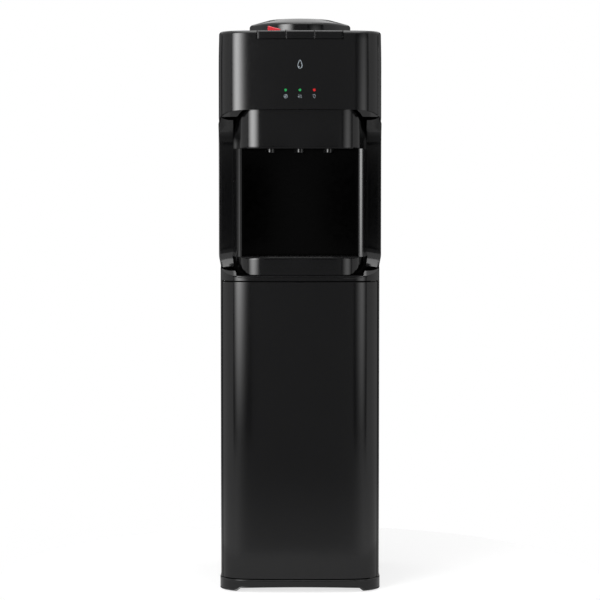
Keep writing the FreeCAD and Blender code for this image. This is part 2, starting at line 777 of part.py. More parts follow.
def build_head():
    """Head cover: front, sides and top in one shell, with a floor over the tap module."""
    levels = ("head_bottom", "head_top")
    inner = ("head_bottom - 1", "head_top - head_wall")
    shell = cut(plan_block("head_half", "cover_rear", levels),
                plan_block("head_half", "cover_rear", inner, "head_wall"),
                recess_air("0"))
    floor_z = ("crease_level", "crease_level + head_floor")
    floor = common(plan_block("head_half", "cover_rear", floor_z, "head_wall"),
                   block(("-column_rear_half", "column_rear_half"),
                         ("-front_reach", setback("recess_depth + back_thickness")), floor_z))
    key_half = "(1.5 * key_pitch + key_gap)"
    key_slot = block((f"-{key_half}", key_half), ("-front_reach - 1", setback("key_rear + key_gap")),
                     ("key_sill", "head_top + 1"))
    bracket_y = (setback("pivot_setback - bracket_half"), setback("pivot_setback + bracket_half"))
    brackets = [block(pair, bracket_y, ("pivot_level - bracket_half", "head_top - head_wall"))
                for pair in ((f"{key_half} + 1", f"{key_half} + 1 + bracket_length"),
                             (f"-{key_half} - 1 - bracket_length", f"-{key_half} - 1"))]
    guides = [rod("rod_radius + slide_gap", "20", (x, setback("rod_setback"), "crease_level - 5"))
              for x in rod_places()]
    lamps = [rod("lamp_radius + pin_gap", "10", (x, "-front_reach - 1", "lamp_level"), "y")
             for x in lamp_places()]
    axis = (setback("pivot_setback"), "pivot_level")
    pivot = rod("pivot_radius + pin_gap", "2 * body_half", ("-body_half", *axis), "x")
    seat_hole = rod("seat_skirt + seam_gap", "20", (*seat_spot(), "head_top - 10"))
    piece("head_cover", cut(fuse(shell, floor, *brackets), key_slot, *guides, *lamps, pivot, seat_hole))
    reach = f"({key_half} + 1 + bracket_length)"
    piece("key_pivot_rod", rod("pivot_radius", f"2 * {reach}", (f"-{reach}", *axis), "x"))


def lamp_places():
    """Return the X of the three indicator lamps, left to right."""
    return [f"{step} * lamp_pitch" for step in (-1, 0, 1)]


def seat_spot():
    """Return the place of the bottle seat's axis."""
    return "0", setback("seat_setback")


def build_seat():
    """Bottle seat: collar, cone and funnel in one turned piece, its gasket and the feed tube."""
    outline = [
        ("seat_skirt - seat_wall", "head_top - seat_skirt_depth"),
        ("seat_skirt", "head_top - seat_skirt_depth"),
        ("seat_skirt", "head_top"),
        ("seat_radius", "head_top"),
        ("seat_radius", "seat_band_top", "seat_shoulder_radius"),
        ("seat_shoulder", "seat_shoulder_level"),
        ("seat_crest", "seat_top"),
        ("seat_crest - seat_wall", "seat_top"),
        ("throat_radius", "throat_top"),
        ("throat_radius", "throat_bottom"),
        ("throat_radius + seat_wall", "throat_bottom"),
        ("throat_radius + seat_wall", "throat_top - seat_wall / 2"),
        ("seat_crest", "seat_top - 2 * seat_wall"),
        ("seat_shoulder", "seat_shoulder_level - seat_wall"),
        ("seat_radius - seat_wall", "seat_band_top - seat_wall / 2"),
        ("seat_radius - seat_wall", "head_top + seat_wall"),
        ("seat_skirt - seat_wall", "head_top + seat_wall"),
    ]
    piece("bottle_seat", revolved(outline, *seat_spot()))
    piece("seat_gasket", ring("throat_radius - seam_gap", "throat_radius - seam_gap - gasket_radius",
                              "2 * gasket_radius", (*seat_spot(), "throat_bottom + gasket_rise")))
    plug = cut(rod("throat_radius + seat_wall", "seat_wall", (*seat_spot(), "throat_bottom - seat_wall")),
               rod("feed_bore", "20", (*seat_spot(), "throat_bottom - 10")))
    length = "throat_bottom - seat_wall - feed_bottom"
    pipe = ring("feed_radius", "feed_bore", length, (*seat_spot(), "feed_bottom"))
    piece("feed_tube", fuse(plug, pipe))


def build_keys():
    """Three keys on one pivot rod, a push rod under each, and the child lock on the hot key."""
    levels = ("key_bottom", "head_top")
    rear = setback("key_rear")
    inset = "head_wall + seam_gap"
    for label, step in (("hot_key", -1), ("ambient_key", 0), ("cold_key", 1)):
        middle = f"{step} * key_pitch"
        low, high = f"{middle} - key_width / 2", f"{middle} + key_width / 2"
        outer = common(plan_block("head_half", "cover_rear", levels, inset),
                       block((low, high), ("-front_reach", rear), levels))
        under = ("key_bottom - 1", "head_top - key_wall")
        hollow = common(plan_block("head_half", "cover_rear", under, f"{inset} + key_wall"),
                        block((f"{low} + key_wall", f"{high} - key_wall"),
                              ("-front_reach", f"{rear} - key_wall"), under))
        skirt = cut(outer, hollow, block((f"{low} - 1", f"{high} + 1"),
                                         (setback("key_rear / 2"), f"{rear} + 1"),
                                         ("key_bottom - 1", "pivot_level")))
        axis = (setback("pivot_setback"), "pivot_level")
        barrel = rod("pivot_barrel", "key_width", (low, *axis), "x")
        bore = rod("pivot_radius + pin_gap", "key_width + 2", (f"{low} - 1", *axis), "x")
        tools = [bore]
        if label == "hot_key":
            tools.append(block(("-lock_left - lock_travel - slide_gap", "-lock_right + slide_gap"),
                               (neck_depth()[0] + " - slide_gap", neck_depth()[1] + " + slide_gap"),
                               ("head_top - 10", "head_top + 1")))
        piece(label, cut(fuse(skirt, barrel), *tools))
    for label, x in zip(("hot_push_rod", "ambient_push_rod", "cold_push_rod"), rod_places()):
        piece(label, rod("rod_radius", "head_top - key_wall - seam_gap - rod_bottom",
                         (x, setback("rod_setback"), "rod_bottom")))
    x = ("-lock_left", "-lock_right")
    y = (setback("lock_setback"), setback("lock_setback + lock_depth"))
    top = "head_top + seam_gap"
    wedge = doc.addObject("Part::Wedge", "Wedge")
    bind(wedge, Xmin=f"{top}", Xmax=f"{top} + lock_height", X2min=f"{top}", X2max=f"{top} + lock_low")
    bind(wedge, Ymin=x[0], Ymax=x[1], Zmin=y[0], Zmax=y[1], Z2min=y[0], Z2max=y[1])
    wedge.Placement = Placement(Vector(), Rotation(Vector(1, 1, 1), -120))
    neck = block(x, neck_depth(), ("head_top - key_wall - seam_gap", f"{top} + 1"))
    foot = block(x, y, ("head_top - key_wall - seam_gap - lock_foot", "head_top - key_wall - seam_gap"))
    piece("child_lock", fuse(wedge, neck, foot))


def neck_depth():
    """Return the Y limits of the child lock's neck."""
    middle = "lock_setback + lock_depth / 2"
    return setback(f"{middle} - lock_neck / 2"), setback(f"{middle} + lock_neck / 2")


def build_module():
    """Tap housing, alcove columns, back panel, tray shelf, drip tray and grille."""
    y = (setback("module_setback"), setback("recess_depth"))
    top = "crease_level - module_gap"
    outer = drafted(("-housing_half", "housing_half"), ("-housing_rear_half", "housing_rear_half"),
                    y, ("housing_bottom", top))
    inner = drafted(("-housing_half + housing_wall", "housing_half - housing_wall"),
                    ("-housing_rear_half + housing_wall", "housing_rear_half - housing_wall"),
                    (f"{y[0]} + housing_wall", f"{y[1]} + 1"),
                    ("housing_bottom + housing_wall", f"{top} - housing_wall"))
    spouts = [rod("spout_radius + seam_gap", "20", (x, setback("spout_setback"), "housing_bottom - 5"))
              for x in rod_places()]
    guides = [rod("rod_radius + slide_gap", "20", (x, setback("rod_setback"), f"{top} - 10"))
              for x in rod_places()]
    piece("tap_housing", cut(outer, inner, *spouts, *guides))
    z = ("tray_top + module_gap", "housing_bottom - module_gap")
    columns = []
    for sign in (-1, 1):
        ends = [("alcove_half", "column_half"), ("alcove_half", "column_rear_half")]
        if sign < 0:
            ends = [(f"-{high}", f"-{low}") for low, high in ends]
        columns.append(drafted(*ends, y, z))
    piece("alcove_columns", group(*columns))
    back = block(("-column_rear_half", "column_rear_half"),
                 (y[1], f"{y[1]} + back_thickness"), ("shelf_level - shelf_thickness", top))
    stubs = [rod("stub_radius + pin_gap", "20", (x, f"{y[1]} - 5", "stub_level"), "y") for x in rod_places()]
    piece("alcove_back_panel", cut(back, *stubs))
    shelf_y = (setback("window_setback + module_gap"), y[1])
    piece("tray_shelf", block(("-column_rear_half", "column_rear_half"), shelf_y,
                              ("shelf_level - shelf_thickness", "shelf_level")))
    tray_y = (y[0], f"{y[1]} - module_gap")
    basin = drafted(("-tray_half + tray_wall", "tray_half - tray_wall"),
                    ("-tray_rear_half + tray_wall", "tray_rear_half - tray_wall"),
                    (f"{tray_y[0]} + tray_wall", f"{tray_y[1]} - tray_wall"),
                    ("shelf_level + module_gap + tray_wall", "tray_top - grille_thickness - 1"))
    opening = block(("-grille_half", "grille_half"),
                    (f"{tray_y[0]} + tray_wall", f"{tray_y[1]} - tray_wall"),
                    ("tray_top - grille_thickness - 2", "tray_top - grille_thickness"))
    seat = block(("-grille_half - seam_gap - grille_ledge", "grille_half + seam_gap + grille_ledge"),
                 (f"{tray_y[0]} + tray_wall - grille_ledge", f"{tray_y[1]} - tray_wall + grille_ledge"),
                 ("tray_top - grille_thickness", "tray_top + 1"))
    body = drafted(("-tray_half", "tray_half"), ("-tray_rear_half", "tray_rear_half"), tray_y,
                   ("shelf_level + module_gap", "tray_top"))
    piece("drip_tray", cut(body, basin, opening, seat))
    plate_y = (f"{tray_y[0]} + tray_wall - grille_ledge + seam_gap",
               f"{tray_y[1]} - tray_wall + grille_ledge - seam_gap")
    plate = block(("-grille_half - grille_ledge", "grille_half + grille_ledge"), plate_y,
                  ("tray_top - grille_thickness", "tray_top"))
    count = int((number("2 * grille_half") - 2 * number("slot_width")) // number("slot_pitch"))
    slots = [block((f"{step} * slot_pitch - slot_width / 2", f"{step} * slot_pitch + slot_width / 2"),
                   (f"{plate_y[0]} + slot_margin", f"{plate_y[1]} - slot_margin"),
                   ("tray_top - grille_thickness - 1", "tray_top + 1"))
             for step in [index - (count - 1) / 2 for index in range(count)]]
    piece("drip_grille", cut(plate, *slots))


def build_taps():
    """Three tap bodies with their spouts and nuts."""
    nuts_start = setback("recess_depth + back_thickness")
    bodies = []
    for x in rod_places():
        body = block((f"{x} - tap_half", f"{x} + tap_half"), (setback("tap_front"), setback("tap_rear")),
                     ("tap_bottom", "tap_top"))
        stub_length = "recess_depth - tap_rear + stub_reach"
        stub = rod("stub_radius", stub_length, (x, setback("tap_rear"), "stub_level"), "y")
        ways = [
            rod("stub_bore", f"{stub_length} + tap_rear - spout_setback + 1",
                (x, setback("spout_setback"), "stub_level"), "y"),
            rod("spout_bore", "stub_level - tap_bottom + 1",
                (x, setback("spout_setback"), "tap_bottom - 1")),
            rod("rod_radius + pin_gap", "tap_top - rod_bottom + rod_stroke + 1",
                (x, setback("rod_setback"), "rod_bottom - rod_stroke")),
        ]
        bodies.append(cut(fuse(body, stub), *ways))
    piece("tap_bodies", group(*bodies))
    piece("tap_spouts", group(*(ring("spout_radius", "spout_bore", "tap_bottom - spout_bottom",
                                     (x, setback("spout_setback"), "spout_bottom")) for x in rod_places())))
    piece("tap_nuts", group(*(ring("nut_radius", "stub_radius + pin_gap", "nut_length",
                                   (x, nuts_start, "stub_level"), "y") for x in rod_places())))


def build_lamps():
    """Three indicator lenses and the board behind them on its standoffs."""
    lenses = [rod("lamp_radius", "lamp_length", (x, "-front_reach", "lamp_level"), "y")
              for x in lamp_places()]
    piece("ready_lamps", group(*lenses[:2]))
    piece("heating_lamp", lenses[2])
    front = "-front_reach + lamp_length + seam_gap"
    board = block(("-board_half", "board_half"), (front, f"{front} + board_thickness"),
                  ("lamp_level - board_half_height", "lamp_level + board_half_height"))
    posts = [rod("standoff_radius", "lamp_length - head_wall - 1",
                 (x, "-front_reach + head_wall + 1 + seam_gap", "lamp_level"), "y")
             for x in ("-standoff_across", "standoff_across")]
    piece("indicator_board", fuse(board, *posts))


def header_spot():
    """Return the place of the cooling coil's upright header."""
    return "cold_across + cold_radius + seam_gap + coil_header", setback("cold_back")


def build_cold_side():
    """Cold tank with its lid, baffle, cooling coil and foam, on the upper deck."""
    axis = ("cold_across", setback("cold_back"))
    shell = cut(rod("cold_radius", "cold_top - cold_bottom", (*axis, "cold_bottom")),
                rod("cold_radius - tank_wall", "cold_top - cold_bottom", (*axis, "cold_bottom + tank_wall")))
    cold_port = ("cold_port_across", setback("cold_back - cold_radius + 8"), "cold_port_level")
    ambient_port = ("0", setback("cold_back - cold_radius + 8"), "ambient_port_level")
    ports = [cut(rod("port_radius", "foam_outer - cold_radius + port_reach + 8",
                     (spot[0], setback("cold_back - foam_outer - port_reach"), spot[2]), "y"),
                 rod("cold_radius - tank_wall", "cold_top - cold_bottom", (*axis, "cold_bottom")))
             for spot in (cold_port, ambient_port)]
    port_end = setback("cold_back - foam_outer - port_reach - 1")
    bores = [rod("port_bore", "60", (x, port_end, z), "y") for x, _, z in (cold_port, ambient_port)]
    bores.append(rod("fill_pipe_radius + pin_gap", "20", (*fill_spot(), "cold_bottom - 5")))
    piece("cold_tank", cut(fuse(shell, *ports), *bores))
    lid = cut(rod("cold_radius", "lid_thickness", (*axis, "cold_top")),
              rod("feed_radius + lid_bore_gap", "20", (*seat_spot(), "cold_top - 5")))
    baffle = cut(rod("cold_radius - tank_wall - seam_gap", "baffle_thickness", (*axis, "baffle_level")),
                 rod("feed_radius + lid_bore_gap", "20", (*seat_spot(), "baffle_level - 5")))
    piece("cold_tank_lid_and_baffle", group(lid, baffle))
    turns = []
    for turn in range(int(number("coil_turns"))):
        loop = doc.addObject("Part::Torus", "Turn")
        bind(loop, Radius1="cold_radius + seam_gap + coil_tube", Radius2="coil_tube")
        loop.Placement = Placement(Vector(), Rotation(Vector(0, 0, 1), 90))
        turns.append(place(loop, *axis, f"coil_start + {turn} * coil_pitch"))
    header = rod("coil_header", "(coil_turns - 1) * coil_pitch + 2 * coil_header",
                 (*header_spot(), "coil_start - coil_header"))
    piece("cooling_coil", fuse(header, *turns))
    foam_inner = "cold_radius + seam_gap + 2 * coil_header + foam_gap"
    low = "upper_deck_level"
    foam = cut(rod("foam_outer", f"cold_top - {low}", (*axis, low)),
               rod(foam_inner, f"cold_top - {low}", (*axis, f"{low} + foam_floor")),
               rod("fill_pipe_radius + seam_gap", "40", (*fill_spot(), f"{low} - 10")),
               rod("pipe_radius + seam_gap", "60", (*header_spot(), f"{low} - 10")),
               *[rod("port_radius + seam_gap", "40", (x, setback("cold_back - foam_outer - 5"), z), "y")
                 for x, _, z in (cold_port, ambient_port)])
    piece("cold_tank_foam", foam)
    deck = cut(block(("-deck_half", "deck_half"),
                     (setback("upper_deck_setback"), "panel_rear - panel_thickness - seam_gap"),
                     (f"{low} - upper_deck_thickness", low)),
               rod("fill_pipe_radius + seam_gap", "20", (*fill_spot(), f"{low} - 10")),
               rod("pipe_radius + seam_gap", "20", (*header_spot(), f"{low} - 10")))
    piece("upper_deck", deck)


def fill_spot():
    """Return the place of the pipe that feeds the hot tank from the cold tank."""
    return "-fill_pipe_across", setback("fill_pipe_back")


def build_hot_side():
    """Hot tank with its heater, foam, feed and drain pipes, and the drain plug."""
    axis = ("-hot_across", setback("hot_back"))
    height = "hot_top - hot_bottom"
    hollow = rod("hot_radius - tank_wall", f"{height} - 2 * tank_wall", (*axis, "hot_bottom + tank_wall"))
    shell = cut(rod("hot_radius", height, (*axis, "hot_bottom")), hollow)
    port = rod("port_radius", "hot_foam_outer - hot_radius + port_reach + 8",
               (axis[0], setback("hot_back - hot_foam_outer - port_reach"), "hot_port_level"), "y")
    port_bore = rod("port_bore", "hot_foam_outer - hot_radius + port_reach + 18",
                    (axis[0], setback("hot_back - hot_foam_outer - port_reach - 1"), "hot_port_level"), "y")
    reach = "panel_rear + front_reach - hot_back"
    drain = rod("drain_radius", f"{reach} - hot_radius + 12",
                (axis[0], f"{axis[1]} + hot_radius - 8", "drain_level"), "y")
    drain_bore = rod("drain_radius - 2", f"{reach} - hot_radius + 22",
                     (axis[0], f"{axis[1]} + hot_radius - 9", "drain_level"), "y")
    fill = rod("fill_pipe_radius + pin_gap", "20", (*fill_spot(), "hot_top - 10"))
    piece("hot_tank", fuse(cut(shell, port_bore, drain_bore, fill),
                           cut(cut(port, hollow), port_bore), cut(cut(drain, hollow), drain_bore)))
    band = ring("hot_radius + seam_gap + heater_thickness", "hot_radius + seam_gap", "heater_height",
                (*axis, "heater_bottom"))
    piece("heater_band", band)
    deck = "rail_top + deck_thickness"
    inner = "hot_radius + 2 * seam_gap + heater_thickness"
    foam = cut(rod("hot_foam_outer", f"hot_top + hot_foam_cap - ({deck})", (*axis, deck)),
               rod(inner, f"{height} + seam_gap", (*axis, "hot_bottom")),
               rod("port_radius + seam_gap", "60",
                   (axis[0], setback("hot_back - hot_foam_outer - 5"), "hot_port_level"), "y"),
               rod("drain_radius + seam_gap", "60", (*axis, "drain_level"), "y"),
               rod("fill_pipe_radius + seam_gap", "40", (*fill_spot(), "hot_top - 10")))
    piece("hot_tank_foam", foam)
    length = "cold_bottom - hot_top + 2 * tank_wall"
    piece("fill_pipe", ring("fill_pipe_radius", "fill_pipe_radius - 1", length,
                            (*fill_spot(), "hot_top - tank_wall")))
    plug = cut(rod("plug_radius", "plug_length", (axis[0], "panel_rear", "drain_level"), "y"),
               rod("drain_radius + pin_gap", "5", (axis[0], "panel_rear - 1", "drain_level"), "y"))
    piece("drain_plug", plug)


def build_hoses():
    """Hoses from the tanks to the tap stubs."""
    start = setback("recess_depth + stub_reach")
    cold_end = setback("cold_back - foam_outer - port_reach")
    turn = f"({start} + {cold_end}) / 2"
    hot_end = setback("hot_back - hot_foam_outer - port_reach")
    runs = (("-tap_pitch", "-hot_across", "hot_port_level", hot_end),
            ("0", "0", "ambient_port_level", cold_end),
            ("tap_pitch", "cold_port_across", "cold_port_level", cold_end))
    hoses = []
    for x, port, level, end in runs:
        spots = [(x, start, "stub_level"), (x, turn, "stub_level"), (port, turn, level), (port, end, level)]
        hoses.append(tube(spots, "hose_radius", "hose_bore"))
    piece("tap_hoses", group(*hoses))


def build_cooling():
    """Compressor on its plate and grommets, refrigerant pipes, drier and the rear condenser."""
    axis = ("0", "panel_rear - compressor_inset")
    can = rod("compressor_radius", "compressor_top - compressor_base", (*axis, "compressor_base"))
    rounded = doc.addObject("Part::Fillet", "Rounded")
    rounded.Base = can
    doc.recompute()
    upper = [index for index, edge in enumerate(can.Shape.Edges, start=1)
             if edge.Closed and edge.CenterOfMass.z > number("compressor_top") - 1]
    rounded.Edges = [(index, number("compressor_round"), number("compressor_round")) for index in upper]
    plate_low = "compressor_base - plate_thickness"
    plate = block(("-plate_half", "plate_half"),
                  (f"{axis[1]} - plate_depth_half", f"{axis[1]} + plate_depth_half"),
                  (plate_low, "compressor_base"))
    piece("compressor", fuse(rounded, plate))
    grommets = [rod("grommet_radius", f"{plate_low} - plinth_top",
                    (f"{across} * (plate_half - grommet_inset)",
                     f"{axis[1]} + {along} * (plate_depth_half - grommet_inset)", "plinth_top"))
                for across in (-1, 1) for along in (-1, 1)]
    piece("compressor_grommets", group(*grommets))
    rise = "compressor_top + pipe_rise"
    header = header_spot()
    can_top = ("-pipe_across", axis[1], "compressor_top")
    suction = tube([(*header, "coil_start - coil_header"), (*header, rise), (*can_top[:2], rise), can_top],
                   "pipe_radius")
    line = "(rear_reach - condenser_tube - condenser_wire * 2)"
    discharge = tube([("pipe_across", axis[1], "compressor_top"), ("pipe_across", axis[1], "condenser_low"),
                      ("pipe_across", f"{line} - condenser_lead", "condenser_low")], "pipe_radius")
    piece("refrigerant_pipes", group(suction, discharge))
    build_condenser(line)
    drier_y = "panel_rear - panel_thickness - seam_gap - drier_radius"
    piece("filter_drier", rod("drier_radius", "drier_length", ("drier_across", drier_y, "drier_bottom")))


def build_condenser(line):
    """Serpentine tube on the rear, the wires that stiffen it and its clips on the rear panel."""
    reach, row = number("condenser_half"), number("condenser_pitch")
    rows, low, y = int(number("condenser_rows")), number("condenser_low"), number(line)
    start = y - number("condenser_lead")
    points = [Vector(number("pipe_across"), start, low), Vector(number("pipe_across"), y, low)]
    for index in range(rows):
        side = reach if index % 2 == 0 else -reach
        points.append(Vector(side, y, low + index * row))
        if index < rows - 1:
            points.append(Vector(side, y, low + (index + 1) * row))
    wire = route(points)
    item = doc.addObject("Part::Feature", "Serpentine")
    item.Shape = swept(wire, points[0], Vector(0, 1, 0), number("condenser_tube"))
    piece("condenser_tube", item)
    top = "condenser_low + (condenser_rows - 1) * condenser_pitch"
    count = int((2 * reach - row) // number("wire_pitch"))
    height = f"{top} - condenser_low + 2 * wire_overhang"
    wires = [rod("condenser_wire", height, (f"{step} * wire_pitch",
                                            f"{line} + condenser_tube + condenser_wire",
                                            "condenser_low - wire_overhang"))
             for step in [index - (count - 1) / 2 for index in range(count)]]
    piece("condenser_wires", group(*wires))
    spans = [(f"{across} * condenser_half / 2", level) for across in (-1, 1)
             for level in ("condenser_low + condenser_pitch", f"{top} - condenser_pitch")]
    clips = [cut(block((f"{x} - clip_half", f"{x} + clip_half"), ("panel_rear", line),
                       (f"{z} - clip_half", f"{z} + clip_half")),
                 rod("condenser_tube + seam_gap", "2 * clip_half + 2",
                     (f"{x} - clip_half - 1", line, z), "x"))
             for x, z in spans]
    piece("condenser_clips", group(*clips))


def rocker_places():
    """Return the X of the two rocker switches."""
    return [f"switch_across {sign} rocker_pitch / 2" for sign in ("-", "+")]


def build_rear_fittings():
    """Switch plate with two rockers, the cord inlet and the panel screws."""
    y = ("panel_rear", "panel_rear + switch_plate_thickness")
    plate = block(("switch_across - switch_plate_half", "switch_across + switch_plate_half"), y,
                  ("switch_level - switch_plate_height", "switch_level + switch_plate_height"))
    holes = [block((f"{x} - rocker_half - rocker_gap / 2", f"{x} + rocker_half + rocker_gap / 2"),
                   ("panel_rear - 5", "panel_rear + 10"),
                   ("switch_level - rocker_half_height - rocker_gap",
                    "switch_level + rocker_half_height + rocker_gap")) for x in rocker_places()]
    axle_y = "panel_rear + switch_plate_thickness / 2"
    piece("switch_plate", cut(plate, *holes))
    rocker_y = (f"{axle_y} - rocker_depth / 2", f"{axle_y} + rocker_depth / 2")
    rocker_z = ("switch_level - rocker_half_height", "switch_level + rocker_half_height")
    for name, x in zip(("heating", "cooling"), rocker_places()):
        piece(f"{name}_rocker", block((f"{x} - rocker_half", f"{x} + rocker_half"), rocker_y, rocker_z))
    spot = ("-gland_across", "panel_rear", "gland_level")
    inlet = fuse(rod("gland_radius", "panel_thickness + gland_length",
                     (spot[0], "panel_rear - panel_thickness - gland_length / 2", spot[2]), "y"),
                 rod("gland_flange", "gland_length / 2", spot, "y"))
    piece("cord_inlet", cut(inlet, rod("gland_bore", "30", (spot[0], "panel_rear - 2", spot[2]), "y")))
    rows = int(number("screw_rows"))
    screws = [rod("screw_radius", "screw_head",
                  (f"{sign} * screw_across", "panel_rear", f"screw_low + {row} * screw_pitch"), "y")
              for sign in (-1, 1) for row in range(rows)]
    piece("panel_screws", group(*screws))


def export():
    """Write each piece, once nothing in the document has failed."""
    doc.recompute()
    failed = [item.Label for item in doc.Objects if {"Invalid", "Error"} & set(item.State)]
    failed += [item.Label for item in pieces if item.Shape.isNull() or not item.Shape.isValid()]
    if failed:
        raise RuntimeError(f"these objects failed: {failed}")
    for item in pieces:
        item.Shape.exportStep(f"parts/{item.Label}.step")
        print(f"{item.Label}: {len(item.Shape.Solids)} solid(s), {item.Shape.Volume / 1000:.1f} cm3")


for build in (build_plinth, build_panels, build_door, build_cabinet, build_moulding, build_head,
              build_seat, build_keys, build_module, build_taps, build_lamps, build_cold_side,
              build_hot_side, build_hoses, build_cooling, build_rear_fittings):
    build()
export()
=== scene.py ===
"""Looks of a floor-standing water dispenser: a glossy black body, a tap alcove and a bottle seat.

Every surface is a function on a grid, worked out with numpy in millimetres and stored in metres, in
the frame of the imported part: +Z up, the front towards -Y, the origin on the floor in the middle.
"""

import json
import logging
import math
from dataclasses import dataclass, field
from enum import Enum
from typing import Callable

import bmesh
import bpy
import numpy as np
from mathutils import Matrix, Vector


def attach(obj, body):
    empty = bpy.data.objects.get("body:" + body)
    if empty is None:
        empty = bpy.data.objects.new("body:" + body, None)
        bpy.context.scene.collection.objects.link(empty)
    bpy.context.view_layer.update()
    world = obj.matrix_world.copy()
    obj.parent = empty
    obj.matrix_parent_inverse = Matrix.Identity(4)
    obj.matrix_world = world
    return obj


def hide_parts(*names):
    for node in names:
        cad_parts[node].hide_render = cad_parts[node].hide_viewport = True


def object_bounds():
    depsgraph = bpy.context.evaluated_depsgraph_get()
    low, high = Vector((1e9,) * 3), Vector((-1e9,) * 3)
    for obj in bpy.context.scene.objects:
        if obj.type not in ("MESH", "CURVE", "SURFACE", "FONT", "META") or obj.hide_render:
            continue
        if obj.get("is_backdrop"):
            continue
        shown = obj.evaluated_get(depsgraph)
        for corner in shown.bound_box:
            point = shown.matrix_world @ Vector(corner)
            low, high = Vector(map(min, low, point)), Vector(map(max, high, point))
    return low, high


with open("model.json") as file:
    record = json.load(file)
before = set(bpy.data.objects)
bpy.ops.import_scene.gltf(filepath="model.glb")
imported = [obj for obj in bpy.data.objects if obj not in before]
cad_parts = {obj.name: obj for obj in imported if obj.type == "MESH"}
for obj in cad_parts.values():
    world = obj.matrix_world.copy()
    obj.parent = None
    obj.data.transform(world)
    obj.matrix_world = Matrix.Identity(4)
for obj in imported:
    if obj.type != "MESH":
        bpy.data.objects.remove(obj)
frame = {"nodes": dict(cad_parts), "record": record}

MM = 0.001
# Y of the foremost point of the body, from which every setback is counted.
FRONT = -170.0
# Level of the head's top face.
HEAD_TOP = 1071.3
# Setback over which the lip's and the brow's edges curve, and the levels that they start and end at.
EDGE_RUN = 52.0
SILL_FRONT, SILL_TOP = 604.3, 619.0
BROW_FRONT, BROW_FOOT = 923.0, 908.0
# Puts a plan path's points and normals on the other side.
MIRROR = np.array([-1.0, 1.0, -1.0, 1.0])
# Points closer than this, in metres, are one point, so that neighbouring grids share their seam.
MERGE = 2e-6
# Edges that turn more than this are rounded by the bevel, or else shown sharp.
ROUNDED_ANGLE = math.radians(38)
SHARP_ANGLE = math.radians(40)
# Handling and mould flow tint a surface in patches, this many to the metre.
PATCHES = 16.0
# Linear colour of every glow in the studio.
WHITE = (1.0, 1.0, 1.0, 1.0)
# The kinds of ray that pass a surface which only shows in reflections.
GLOSS_ONLY = ("camera", "diffuse", "shadow", "transmission")
LOG = logging.getLogger("dispenser")


def linear(code: str) -> tuple[float, float, float, float]:
    """Turn an sRGB hex colour into linear red, green, blue and alpha.

    Args:
        code: Six hex digits after a hash sign.

    Returns:
        The linear colour with an alpha of 1.
    """
    parts = [int(code[i:i + 2], 16) / 255 for i in (1, 3, 5)]
    flat = [v / 12.92 if v <= 0.04045 else ((v + 0.055) / 1.055) ** 2.4 for v in parts]
    return (*flat, 1.0)


def add(tree: bpy.types.NodeTree, kind: str, inputs: dict | None = None, **settings) -> bpy.types.Node:
    """Add one shader node with its settings and its inputs.

    Args:
        tree: The node tree that gets the node.
        kind: The node's type name.
        inputs: Input name or number to a value, or to the socket that feeds it.
        settings: Attributes to set on the node.

    Returns:
        The new node.
    """
    node = tree.nodes.new(kind)
    for name, value in settings.items():
        setattr(node, name, value)
    for name, value in (inputs or {}).items():
        if isinstance(value, bpy.types.NodeSocket):
            tree.links.new(value, node.inputs[name])
        else:
            node.inputs[name].default_value = value
    return node


class Grain(Enum):
    """How a surface was made, which sets the kind of fine relief on it."""

    POLISHED = "polished mould, a faint orange peel"
    TEXTURED = "spark-eroded mould, an even matt grain"
    ROLLED = "rolled and powder-coated sheet"
    DRAWN = "drawn or brushed along one direction"
    CAST = "cast or foamed, lumpy and open"


